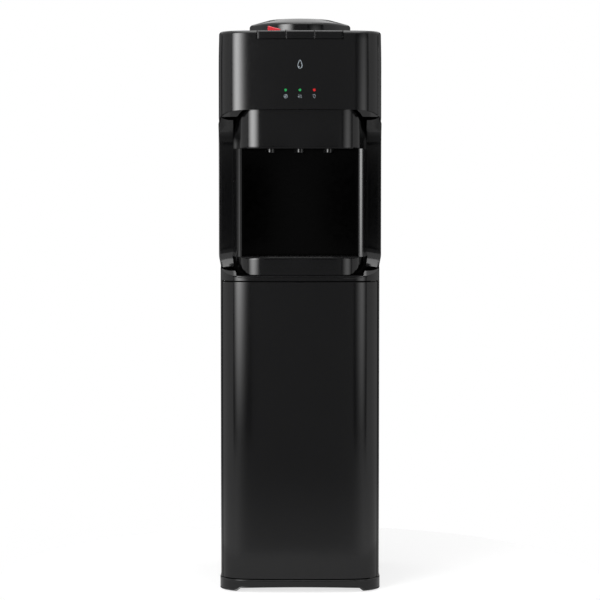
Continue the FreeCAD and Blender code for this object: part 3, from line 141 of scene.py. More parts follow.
@dataclass(frozen=True)
class Finish:
    """One real finish: its colours, its gloss and the relief its making left.

    The colour drifts to the shade in broad patches. The roughness swings by the spread with the
    grain, which also stands out as relief. The direction stretches the grain along an axis.
    """

    title: str
    colour: str
    shade: str
    roughness: float
    grain: Grain
    grain_mm: float
    relief_mm: float = 0.02
    spread: float = 0.04
    metallic: float = 0.0
    ior: float = 1.5
    specular: float = 0.5
    see_through: float = 0.0
    glow: float = 0.0
    direction: tuple[float, float, float] = (1.0, 1.0, 1.0)

    def material(self) -> bpy.types.Material:
        """Build the finish once and hand out the same material afterwards.

        Returns:
            The material of this finish.
        """
        made = bpy.data.materials.get(self.title)
        if made is not None:
            return made
        made = bpy.data.materials.new(self.title)
        made.use_nodes = True
        tree = made.node_tree
        shader = tree.nodes["Principled BSDF"]
        place = add(tree, "ShaderNodeTexCoord")
        turned = add(tree, "ShaderNodeMapping",
                     {"Vector": place.outputs["Object"], "Scale": self.direction})
        # Relief: one cell of noise per grain, so the noise scale is grains per metre.
        detail = 4.0 if self.grain in (Grain.CAST, Grain.TEXTURED) else 1.5
        fine = add(tree, "ShaderNodeTexNoise",
                   {"Vector": turned.outputs["Vector"], "Scale": 1 / (self.grain_mm * MM),
                    "Detail": detail, "Roughness": 0.55})
        broad = add(tree, "ShaderNodeTexNoise",
                    {"Vector": turned.outputs["Vector"], "Scale": PATCHES, "Detail": 2.0})
        tint = add(tree, "ShaderNodeMix",
                   {0: broad.outputs["Fac"], 6: linear(self.colour), 7: linear(self.shade)},
                   data_type="RGBA")
        gloss = add(tree, "ShaderNodeMapRange",
                    {"Value": fine.outputs["Fac"], "From Min": 0.3, "From Max": 0.7,
                     "To Min": max(self.roughness - self.spread, 0.02),
                     "To Max": self.roughness + self.spread})
        bump = add(tree, "ShaderNodeBump",
                   {"Height": fine.outputs["Fac"], "Strength": 0.5, "Distance": self.relief_mm * MM})
        tree.links.new(tint.outputs[2], shader.inputs["Base Color"])
        tree.links.new(gloss.outputs["Result"], shader.inputs["Roughness"])
        tree.links.new(bump.outputs["Normal"], shader.inputs["Normal"])
        shader.inputs["Metallic"].default_value = self.metallic
        shader.inputs["IOR"].default_value = self.ior
        shader.inputs["Specular IOR Level"].default_value = self.specular
        shader.inputs["Transmission Weight"].default_value = self.see_through
        if self.glow:
            shader.inputs["Emission Color"].default_value = linear(self.colour)
            shader.inputs["Emission Strength"].default_value = self.glow
        return made


# High-gloss ABS from a polished mould: a deep black that mirrors the room softly.
GLOSS_ABS = Finish("high_gloss_abs", "#0d0d0e", "#0a0a0b", 0.13, Grain.POLISHED, 5.0, 0.008, 0.02)
# Painted sheet steel: the same black, a little softer, with the fine peel of a sprayed coat.
PAINTED_STEEL = Finish("painted_sheet_steel", "#0e0e0f", "#0b0b0c", 0.24, Grain.ROLLED, 2.4, 0.012, 0.03)
# Smoked acrylic behind the taps: nearly no diffuse colour, it swallows the light of the alcove.
SMOKED_ACRYLIC = Finish("smoked_acrylic", "#030303", "#020202", 0.12, Grain.POLISHED, 8.0, 0.01, 0.03,
                        ior=1.49, specular=0.15)
# Polypropylene of the drip grille and hidden mouldings: satin and slightly greyer.
SATIN_PP = Finish("satin_polypropylene", "#101011", "#0c0c0d", 0.36, Grain.TEXTURED, 0.9, 0.02, 0.06,
                  specular=0.22)
# Vacuum-formed polystyrene of the cabinet: a plain mid grey with the even grain of the sheet.
GREY_LINER = Finish("grey_polystyrene_liner", "#55585a", "#4c4f51", 0.45, Grain.TEXTURED, 1.1, 0.03, 0.06)
# Hot-dip galvanised steel of the decks and brackets: dull silver with spangles of about 9 mm.
GALVANISED = Finish("galvanised_steel", "#a9abac", "#8d9092", 0.36, Grain.ROLLED, 9.0, 0.01, 0.1, 1.0)
# Brushed stainless steel of the tanks: warm silver with long streaks up the wall.
STAINLESS = Finish("brushed_stainless_steel", "#b9b7b2", "#a7a5a0", 0.27, Grain.DRAWN, 0.8, 0.01, 0.08, 1.0,
                   direction=(1.0, 1.0, 0.06))
# Chrome plate over polished brass: a clear cool mirror.
CHROME = Finish("bright_chrome_plate", "#c9cacc", "#bfc0c2", 0.07, Grain.POLISHED, 6.0, 0.004, 0.02, 1.0)
# Moulded nitrile rubber of the feet and grommets: dark, dull and faintly pitted.
RUBBER = Finish("nitrile_rubber", "#191919", "#131313", 0.75, Grain.TEXTURED, 0.5, 0.04, 0.08)
# Matt black strip in the door's top seam: painted shade, a near-black sheet put in the gap so the seam
# stays a dark line.
SEAM_SHADE_STRIP = Finish("painted_seam_shade_strip", "#050505", "#040404", 0.9, Grain.CAST, 1.5, 0.1, 0.05, specular=0.1)
# Red ABS of the child lock, moulded in its colour: bright and smooth, with a soft gloss.
RED_ABS = Finish("red_gloss_abs", "#c92a35", "#b92029", 0.24, Grain.POLISHED, 3.0, 0.01, 0.03)
# Moulded green lens with its lamp on: a small even glow under a smooth skin.
GREEN_LENS = Finish("green_lamp_lens", "#1f8a48", "#1a7d40", 0.2, Grain.POLISHED, 1.0, 0.01, 0.02, glow=0.4)
# The same lens in red.
RED_LENS = Finish("red_lamp_lens", "#b81a1b", "#a81718", 0.2, Grain.POLISHED, 1.0, 0.01, 0.02, glow=0.4)
# Glass-epoxy circuit board under solder mask: green, with the weave as a fine even grain.
CIRCUIT = Finish("epoxy_circuit_board", "#1d5b34", "#174c2b", 0.42, Grain.TEXTURED, 0.7, 0.02, 0.05)
# Extruded silicone of the hoses: milky, so that light passes a little way in.
SILICONE = Finish("translucent_silicone", "#d8d6cf", "#cfcdc5", 0.4, Grain.POLISHED, 2.0, 0.02, 0.05,
                  ior=1.41, see_through=0.35)
# Drawn copper of the refrigerant pipes: a warm metal, handled to a soft sheen.
COPPER = Finish("drawn_copper", "#b8704a", "#a45f3b", 0.26, Grain.DRAWN, 1.2, 0.01, 0.1, 1.0)
# Expanded polystyrene round the tanks: off-white, with beads of 3.5 mm pressed together.
FOAM = Finish("expanded_polystyrene", "#e6e4dd", "#dbd9d1", 0.85, Grain.CAST, 3.5, 0.35, 0.06)
# Baked enamel on pressed steel, as on the compressor: black with a low sheen and a thick skin.
ENAMEL = Finish("black_enamelled_steel", "#101011", "#0b0b0b", 0.32, Grain.ROLLED, 1.6, 0.02, 0.06)
# Silver ink from a printing pad: a flat pale grey that doesn't shine.
PRINT = Finish("pad_printed_ink", "#aeb8c0", "#a4aeb6", 0.5, Grain.TEXTURED, 0.4, 0.004, 0.04)

SLOTS = {
    "black_gloss": GLOSS_ABS, "black_mirror": SMOKED_ACRYLIC, "black_satin": SATIN_PP,
    "black_metal": PAINTED_STEEL, "grey_liner": GREY_LINER, "steel_plate": GALVANISED,
    "stainless": STAINLESS, "chrome_trim": CHROME, "foot_rubber": RUBBER, "red_lock": RED_ABS,
    "green_lens": GREEN_LENS, "red_lens": RED_LENS, "circuit_board": CIRCUIT, "silicone": SILICONE,
    "copper": COPPER, "foam": FOAM, "compressor_black": ENAMEL,
}


def grid_faces(rows: int, columns: int, wrap: bool = False, keep: np.ndarray | None = None) -> np.ndarray:
    """Number the quads of a grid of points stored row after row.

    Args:
        rows: Number of rows of points.
        columns: Points in a row.
        wrap: True if the last column joins the first.
        keep: Optional mask of the quads to keep, shaped (rows - 1, quads in a row).

    Returns:
        One line of four point numbers for each quad.
    """
    span = columns if wrap else columns - 1
    j, i = np.meshgrid(np.arange(rows - 1), np.arange(span), indexing="ij")
    k = (i + 1) % columns
    quads = np.stack([j * columns + i, j * columns + k, (j + 1) * columns + k, (j + 1) * columns + i], -1)
    return quads[keep] if keep is not None else quads.reshape(-1, 4)


@dataclass
class Sheet:
    """Grids of points gathered into one piece, then given a wall and softened edges."""

    name: str
    points: list[np.ndarray] = field(default_factory=list)
    faces: list[np.ndarray] = field(default_factory=list)
    count: int = 0

    def grid(self, points: np.ndarray, wrap: bool = False, keep: np.ndarray | None = None,
             flip: bool = False) -> "Sheet":
        """Add a grid of points.

        Args:
            points: Array of (rows, columns, 3) in millimetres.
            wrap: True if its last column joins its first.
            keep: Optional mask of the quads to keep.
            flip: True to turn its faces round.

        Returns:
            The sheet itself.
        """
        rows, columns = points.shape[:2]
        quads = grid_faces(rows, columns, wrap, keep) + self.count
        self.points.append(points.reshape(-1, 3))
        self.faces.append(quads[:, ::-1] if flip else quads)
        self.count += rows * columns
        return self

    def cap(self, ring: np.ndarray, wrap: bool = False, flip: bool = False) -> None:
        """Close an end with a fan that runs from its ring to the ring's mean point.

        Args:
            ring: Array of (n, 3) in millimetres.
            wrap: True if the ring's last point joins its first.
            flip: True to turn the fan round.
        """
        self.grid(np.stack([ring, np.repeat(ring.mean(0)[None, :], len(ring), 0)]), wrap=wrap, flip=flip)

    def build(self, finish: Finish, body: str, nodes: tuple[str, ...] = (), wall: float = 0.0,
              edge: float = 0.0, outward: bool = False, slot: str = "") -> bpy.types.Object:
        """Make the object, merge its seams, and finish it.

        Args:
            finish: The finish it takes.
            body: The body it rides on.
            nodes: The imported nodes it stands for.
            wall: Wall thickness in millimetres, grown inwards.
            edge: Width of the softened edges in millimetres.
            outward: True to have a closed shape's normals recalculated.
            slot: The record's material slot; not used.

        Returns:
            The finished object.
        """
        mesh = bpy.data.meshes.new(self.name)
        mesh.from_pydata((np.concatenate(self.points) * MM).tolist(), [],
                         np.concatenate(self.faces).tolist())
        work = bmesh.new()
        work.from_mesh(mesh)
        bmesh.ops.remove_doubles(work, verts=work.verts, dist=MERGE)
        bmesh.ops.dissolve_degenerate(work, edges=work.edges, dist=MERGE / 2)
        if outward:
            bmesh.ops.recalc_face_normals(work, faces=work.faces)
        work.to_mesh(mesh)
        work.free()
        mesh.polygons.foreach_set("use_smooth", np.ones(len(mesh.polygons), bool))
        item = bpy.data.objects.new(self.name, mesh)
        bpy.context.scene.collection.objects.link(item)
        mesh.materials.append(finish.material())
        if wall:
            shell = item.modifiers.new("Wall", "SOLIDIFY")
            shell.thickness, shell.offset, shell.use_even_offset = wall * MM, -1.0, True
        if edge:
            soft = item.modifiers.new("Edges", "BEVEL")
            soft.width, soft.segments, soft.limit_method = edge * MM, 2, "ANGLE"
            soft.angle_limit, soft.harden_normals = ROUNDED_ANGLE, True
        else:
            mesh.set_sharp_from_angle(angle=SHARP_ANGLE)
        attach(item, body)
        if nodes:
            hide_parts(*nodes)
        LOG.info("%s: %d faces on %s", self.name, len(mesh.polygons), body)
        return item


@dataclass(frozen=True)
class PlanOutline:
    """Plan of a cover: a long front arc that tightens smoothly into each corner, then straight sides.

    Half is half the width between the sides, face and corner are the radii of the front and of a
    corner, and ease is the length over which one curvature runs into the other.
    """

    half: float
    face: float = 1200.0
    corner: float = 47.0
    ease: float = 34.0

    def curve(self) -> np.ndarray:
        """Work out the right half of the front from its curvature.

        The curvature steps from 1/face to 1/corner. It is averaged over the ease length, so that a
        reflection runs into the corner without a break. The angle of the normal is its running sum,
        and x and y are the running sums of the cosine and sine, fitted to the half width and depth.

        Returns:
            Array of (4, n): length along the curve, x, setback and the normal's angle.
        """
        across = self.half - self.corner
        join = math.asin(across / (self.face - self.corner))
        depth = self.face - (self.face - self.corner) * math.cos(join)
        step = 0.25
        s = np.arange(0, self.face * join + self.corner * (math.pi / 2 - join), step)
        flat = np.where(s < self.face * join, 1 / self.face, 1 / self.corner)
        width = int(self.ease / step)
        padded = np.concatenate([np.full(width, flat[0]), flat, np.full(width, flat[-1])])
        eased = np.convolve(padded, np.hanning(width * 2) / np.hanning(width * 2).sum(), "same")
        turn = np.concatenate([[0], np.cumsum(eased[width:-width] * step)[:-1]])
        turn *= math.pi / 2 / turn[-1]
        x, y = np.cumsum(np.cos(turn) * step), np.cumsum(np.sin(turn) * step)
        x, y = x - x[0], y - y[0]
        return np.stack([s, x * self.half / x[-1], y * depth / y[-1], turn])

    @property
    def corner_y(self) -> float:
        """Return the Y where the sides begin."""
        return FRONT + float(self.curve()[2, -1])

    def angle_at(self, setback: float) -> float:
        """Return the normal's angle at a setback behind the foremost point."""
        _, _, depth, turn = self.curve()
        return float(np.interp(setback, depth, turn))

    def half_at(self, setback: np.ndarray) -> np.ndarray:
        """Return the half width of the plan at setbacks behind the foremost point."""
        _, x, depth, _ = self.curve()
        return np.interp(np.asarray(setback, float), depth, x)

    def front(self, angles: np.ndarray) -> np.ndarray:
        """Return points and normals of the front, by the angle of the normal.

        Args:
            angles: Angles from -90 degrees at the left side to +90 at the right, in radians.

        Returns:
            Array of (n, 4): x, y and the normal's x and y.
        """
        a = np.asarray(angles, float)
        _, x, depth, turn = self.curve()
        return np.stack([np.sign(a) * np.interp(np.abs(a), turn, x),
                         FRONT + np.interp(np.abs(a), turn, depth), np.sin(a), -np.cos(a)], -1)

    def angle_of(self, x: np.ndarray) -> np.ndarray:
        """Return the normal's angle at X places on the front."""
        _, spots, _, turn = self.curve()
        return np.sign(x) * np.interp(np.abs(x), spots, turn)

    def sweep(self, limit: float = math.pi / 2, stops: tuple[float, ...] = (), fine: int = 46,
              wide: int = 18) -> np.ndarray:
        """Return the angles of a run across the front, close together in the corners.

        Args:
            limit: The angle at which the run starts and ends.
            stops: X places that must have a point of their own.
            fine: Points on each tightening part.
            wide: Points on each half of the long arc.

        Returns:
            Sorted angles.
        """
        length, x, _, turn = self.curve()
        # X at which the front starts to tighten, and how near a stop, in radians, no other point stays.
        tightens_at, clearance = 80.0, 6e-4
        calm = float(np.interp(tightens_at, x, length))
        end = float(np.interp(limit, turn, length))
        spots = np.concatenate([np.linspace(0, calm, wide), np.linspace(calm, end, fine)[1:]])
        half = np.interp(spots, length, turn)
        every = np.concatenate([-half[:0:-1], half])
        if stops:
            extra = self.angle_of(np.array(stops))
            crowded = np.min(np.abs(every[:, None] - extra[None, :]), 1) < clearance
            every = np.concatenate([every[~crowded], extra])
        return np.sort(every)


def risers(path: np.ndarray, inset: np.ndarray, level: np.ndarray) -> np.ndarray:
    """Carry a profile along a plan path: each point moves in along the normal and up.

    Args:
        path: Array of (n, 4) points and normals.
        inset: Insets, (m,) or (m, n).
        level: Levels, (m,) or (m, n).

    Returns:
        Array of (m, n, 3).
    """
    n = len(path)
    d = np.broadcast_to(np.asarray(inset, float).reshape(len(inset), -1), (len(inset), n))
    z = np.broadcast_to(np.asarray(level, float).reshape(len(level), -1), d.shape)
    return np.stack([path[:, 0] - path[:, 2] * d, path[:, 1] - path[:, 3] * d, z], -1)


def straight(x: np.ndarray | float, y: np.ndarray | float, normal: tuple[float, float]) -> np.ndarray:
    """Return a straight stretch of a plan path: its points, each with the same normal.

    Args:
        x: X of the points, or one X for all.
        y: Y of the points, or one Y for all.
        normal: The normal's x and y.

    Returns:
        Array of (n, 4).
    """
    x, y = np.broadcast_arrays(x, y)
    return np.column_stack([x, y, np.tile(normal, (len(x), 1))])


def quarter(radius: float, steps: int = 5) -> tuple[np.ndarray, np.ndarray]:
    """Work out a rounded edge: r (1 - cos a) inwards and r (1 - sin a) below the top.

    Args:
        radius: Its radius r.
        steps: Points on it.

    Returns:
        Insets, and drops below the top, from its upright start to its flat end.
    """
    a = np.linspace(0, math.pi / 2, steps)
    return radius * (1 - np.cos(a)), radius * (1 - np.sin(a))


def turned(outline: np.ndarray, x: float, y: float, steps: int) -> np.ndarray:
    """Turn an outline round an upright axis: X is x + r cos a and Y is y + r sin a.

    Args:
        outline: Array of (m, 2) radii and levels.
        x: X of the axis.
        y: Y of the axis.
        steps: Points in a turn.

    Returns:
        Array of (m, steps, 3), open where the turn ends.
    """
    a = np.linspace(0, 2 * math.pi, steps, endpoint=False)
    r, z = outline[:, 0][:, None], outline[:, 1][:, None]
    return np.stack([x + r * np.cos(a), y + r * np.sin(a), z + 0 * a], -1)


def bulge(setback: np.ndarray, radius: float, rise: float) -> np.ndarray:
    """Return the height of an arc that starts at 0 and has gained the rise at the end of its run.

    The height at a setback s is the centre's height less sqrt(R^2 - (s - centre)^2), with the centre
    found from the chord's middle.

    Args:
        setback: Depths behind the foremost point.
        radius: Radius of the arc.
        rise: Height gained over the run.

    Returns:
        Heights, level beyond the run.
    """
    s = np.clip(np.asarray(setback, float), 0, EDGE_RUN)
    half = math.hypot(EDGE_RUN, rise) / 2
    away = math.sqrt(radius ** 2 - half ** 2)
    cx = EDGE_RUN / 2 - rise / (2 * half) * away
    cz = rise / 2 + EDGE_RUN / 2 / half * away
    return cz - np.sqrt(radius ** 2 - (s - cx) ** 2)


def sill(setback: np.ndarray) -> np.ndarray:
    """Give the level of the lower lip's edge: an arc of radius 120, cut off at its top.

    Args:
        setback: Depths behind the foremost point.

    Returns:
        Levels.
    """
    return np.minimum(SILL_FRONT + bulge(setback, 120.0, 26.7), SILL_TOP)


def brow(setback: np.ndarray) -> np.ndarray:
    """Give the level of the crease under the head: an arc of radius 150, cut off at its foot.

    Args:
        setback: Depths behind the foremost point.

    Returns:
        Levels.
    """
    return np.maximum(BROW_FRONT - bulge(setback, 150.0, 25.5), BROW_FOOT)


@dataclass
class Head:
    """Head cover: one shell of front, sides, rear and top, with the key slot and the seat hole."""

    outline: PlanOutline = PlanOutline(155.7)
    rear: float = 159.0
    wall: float = 2.5
    edge_radius: float = 6.0
    seam_x: float = 148.85
    seam_lips: tuple[float, ...] = (-0.95, -0.55, 0.55, 0.95)
    seam_depth: float = 2.4
    side_from: float = 57.0
    side_slope: float = 1.05
    side_foot: float = 897.5
    lean_from: float = 1000.0
    slot_half: float = 82.05
    slot_sill: float = 1054.1
    slot_rear: float = -107.4
    seat_y: float = -5.0
    seat_hole: float = 91.0

    def build(self) -> None:
        """Build the walls and the top plate on matching points, so that they merge."""
        shape, reach = self.outline, self.edge_radius + 1
        groove = self.seam_x + np.array(self.seam_lips)
        angles = shape.sweep(stops=(-self.slot_half, -60.0, 0.0, 60.0, self.slot_half, *-groove, *groove))
        front = shape.front(angles)
        lengths = np.linspace(shape.corner_y, self.rear - reach - 4, 22)[1:]
        lengths = np.sort(np.append(lengths, self.slot_rear))
        columns = front[:, 0] - front[:, 2] * reach
        right = straight(shape.half, lengths, (1, 0))
        back = straight(columns[1:-1], self.rear, (0, 1))
        corner = np.array([[shape.half, self.rear, 1.0, 1.0]])
        path = np.concatenate([corner * MIRROR, right[::-1] * MIRROR, front, right, corner, back[::-1]])
        points, walls = self.shell(path, reach)
        # The key slot opens the top edge across the middle of the front.
        middle = np.minimum(np.abs(path[:, 0]), np.roll(np.abs(path[:, 0]), -1)) < self.slot_half - 0.01
        ahead = path[:, 1] < -120
        across = middle & ahead & np.roll(ahead, -1)
        keep = ~(across[None, :] & (np.arange(len(points) - 1) >= walls - 1)[:, None])
        sheet = Sheet("head_shell").grid(points, wrap=True, keep=keep)
        top, keep_top = self.plate(front, columns, lengths, reach)
        sheet.grid(top, keep=keep_top)
        sheet.build(GLOSS_ABS, "root", ("head_cover",), self.wall, 0.5, slot="black_gloss")

    def shell(self, path: np.ndarray, reach: float) -> tuple[np.ndarray, int]:
        """Carry the walls up the path, round the top edge and in to the plate's rim.

        The lower edge follows the brow and falls along each side to its foot. The sides lean in by the
        square of the share of the last 60, 1 in all, and a seam runs down each side of the front.

        Args:
            path: Points and normals of the closed plan.
            reach: Inset of the plate's rim.

        Returns:
            Array of (m, n, 3), and how many of its rows belong to the upright walls.
        """
        setback = path[:, 1] - FRONT
        side_edge = np.maximum(BROW_FOOT - (setback - self.side_from) * self.side_slope, self.side_foot)
        low = np.where(setback < self.side_from, brow(setback), side_edge)
        curve_in, curve_drop = quarter(self.edge_radius, 7)
        share = np.linspace(0, 1, 12)[:, None]
        walls = low[None, :] * (1 - share) + self.slot_sill * share
        rim = np.repeat((HEAD_TOP - np.append(curve_drop, 0.0))[:, None], len(path), 1)
        level = np.concatenate([walls, rim])
        inset = np.concatenate([np.zeros(len(walls)), curve_in, [reach]])[:, None]
        lean = np.clip((level - self.lean_from) / 60, 0, 1) ** 2 * (np.abs(path[:, 2]) > 0.5)
        inset = inset + lean * np.clip((reach - inset) / reach, 0, 1)
        seam = (np.abs(np.abs(path[:, 0]) - self.seam_x) < 0.6) & (path[:, 1] < 0) & (path[:, 3] < -0.1)
        inset = inset + self.seam_depth * seam * (np.arange(len(level)) < len(walls))[:, None]
        return risers(path, inset, level), len(walls)

    def plate(self, front: np.ndarray, columns: np.ndarray, lengths: np.ndarray,
              reach: float) -> tuple[np.ndarray, np.ndarray]:
        """Work out the top plate: straight lines from the front curve to the rear edge.

        Args:
            front: Points and normals of the front.
            columns: X of each line.
            lengths: Y of the points on the sides.
            reach: Inset of the plate's rim.

        Returns:
            The grid, and the mask of the quads to keep: those outside the key slot and the seat hole.
        """
        start = front[:, 1] - front[:, 3] * reach
        share = np.linspace(0, 1, 9)[:, None]
        ahead = start[None, :] * (1 - share) + self.outline.corner_y * share
        behind = np.repeat(np.append(lengths, self.rear - reach)[:, None], len(columns), 1)
        y = np.concatenate([ahead, behind])
        x = np.repeat(columns[None, :], len(y), 0)
        points = np.stack([x, y, np.full_like(x, HEAD_TOP)], -1)
        cx = (x[:-1, :-1] + x[1:, 1:]) / 2
        cy = (y[:-1, :-1] + y[1:, 1:]) / 2
        slot = (np.abs(cx) < self.slot_half) & (cy < self.slot_rear)
        return points, ~(slot | (np.hypot(cx, cy - self.seat_y) < self.seat_hole))


@dataclass
class Keys:
    """Three keys let into the head's top front edge, and the child lock on the hot one."""

    outline: PlanOutline = PlanOutline(155.7)
    width: float = 53.4
    pitch: float = 54.3
    inset: float = 2.8
    undercut: float = 3.2
    low: float = 1049.0
    rear: float = -108.0
    edge_radius: float = 3.2
    side_radius: float = 0.8
    crown: float = 0.25
    lock_x: float = -49.0
    lock_y: float = -152.0
    lock_width: float = 24.0
    lock_depth: float = 16.0

    def build(self) -> None:
        """Build the keys on their bodies, then the lock."""
        for label, step in (("hot", -1), ("ambient", 0), ("cold", 1)):
            self.key(label, step * self.pitch)
        self.lock()

    def key(self, label: str, middle: float) -> None:
        """Build one key: an undercut skirt, up its face, round the edge, back along its crowned top.

        Its sides are rounded off by an arc of the side radius, which sinks r (1 - cos t) below the
        face while x runs out by r sin t.

        Args:
            label: The water it draws.
            middle: X of its middle.
        """
        t, r = np.linspace(0, 1.45, 5), self.side_radius
        side, drop = self.width / 2 - r + r * np.sin(t), r * (1 - np.cos(t))
        calm = np.linspace(-side[0], side[0], 11)[1:-1]
        x = np.concatenate([-side[::-1], calm, side]) + middle
        drop = np.concatenate([drop[::-1], 0 * calm, drop])
        path = self.outline.front(self.outline.angle_of(x))
        curve_in, curve_drop = quarter(self.edge_radius, 6)
        lift = np.concatenate([np.zeros(5), np.linspace(0, math.pi / 2, 6)])[:, None]
        inset = np.concatenate([[self.undercut, self.undercut, 0, 0, 0], curve_in])[:, None]
        inset = inset + self.inset + drop * np.cos(lift)
        level = np.concatenate([[self.low, 1052.6, 1055.8, 1056.4, 1062.0], HEAD_TOP - curve_drop])[:, None]
        face = risers(path, inset, level - drop * np.sin(lift))
        share = np.linspace(0, 1, 12)[1:, None]
        y = face[-1, :, 1] * (1 - share) + self.rear * share
        crown = self.crown * np.sin(share * math.pi)
        top = np.stack([np.repeat(face[-1:, :, 0], len(share), 0), y, HEAD_TOP + crown - drop], -1)
        Sheet(f"{label}_key_cap").grid(np.concatenate([face, top])).build(
            GLOSS_ABS, f"key_{label}", (f"{label}_key",), 2.2, 0.2, slot="black_gloss")

    def lock(self) -> None:
        """Build the lock: a ribbed slider whose height falls from 9 to 2.5 across it, on a flat foot.

        With u and v from -1 to 1 across its width and depth, the height is
        (5.75 - 3.25 u) ((1 - |u|^14) (1 - |v|^8))^(1/8), and the ribs add 0.25 cos(14 v).
        """
        u = np.sin(np.linspace(-1, 1, 33) * math.pi / 2)
        v = np.sin(np.linspace(-1, 1, 25) * math.pi / 2)
        uu, vv = np.meshgrid(u, v)
        tall = 5.75 - 3.25 * uu
        round_off = (np.clip(1 - np.abs(vv) ** 8, 0, 1) * np.clip(1 - np.abs(uu) ** 14, 0, 1)) ** 0.125
        ribs = 0.25 * np.cos(vv * 14) * (np.abs(vv) < 0.8) * (np.abs(uu) < 0.85)
        base = HEAD_TOP + 0.3
        top = np.stack([self.lock_x + self.lock_width / 2 * uu, self.lock_y + self.lock_depth / 2 * vv,
                        base + tall * round_off + ribs], -1)
        foot = top.copy()
        foot[..., 2] = base
        Sheet("child_lock_slider").grid(top).grid(foot, flip=True).build(
            RED_ABS, "lock", ("child_lock",), outward=True, slot="red_lock")


@dataclass
class BottleSeat:
    """Turned seat for the bottle: upright collar, shallow cone, crest and funnel."""

    y: float = -5.0
    steps: int = 160

    def profile(self) -> np.ndarray:
        """Work out the outline, outside then inside, with a parabola round each corner.

        Returns:
            Array of (n, 2): radii and levels.
        """
        # Each corner is a radius, a level and the length that its rounding takes.
        corners = np.array([
            (85, 1059.3, 0.6), (88, 1059.3, 0.6), (88, HEAD_TOP, 0.2), (99, HEAD_TOP, 0.6),
            (99, 1091.2, 4.2), (62, 1101.6, 2.2), (59, 1101.0, 1.5), (47, 1084, 10),
            (29, 1046, 8), (29, 1020, 0.8), (32, 1020, 0.8), (32, 1044.5, 6),
            (62, 1095.6, 4), (95, 1087.0, 3), (95, HEAD_TOP + 3, 0.6), (85, HEAD_TOP + 3, 0.6)])
        spots = []
        for k in range(len(corners)):
            before, here, after = corners[k - 1, :2], corners[k, :2], corners[(k + 1) % len(corners), :2]
            back, ahead = before - here, after - here
            cut = min(corners[k, 2], 0.45 * np.hypot(*back), 0.45 * np.hypot(*ahead))
            start, end = here + back / np.hypot(*back) * cut, here + ahead / np.hypot(*ahead) * cut
            t = np.linspace(0, 1, 6)[:, None]
            spots.append((1 - t) ** 2 * start + 2 * t * (1 - t) * here + t ** 2 * end)
        return np.concatenate(spots)

    def build(self) -> None:
        """Turn the closed outline round the seat's axis."""
        points = turned(self.profile(), 0.0, self.y, self.steps)
        Sheet("bottle_collar").grid(np.concatenate([points, points[:1]]), wrap=True).build(
            GLOSS_ABS, "root", ("bottle_seat",), outward=True, slot="black_gloss")


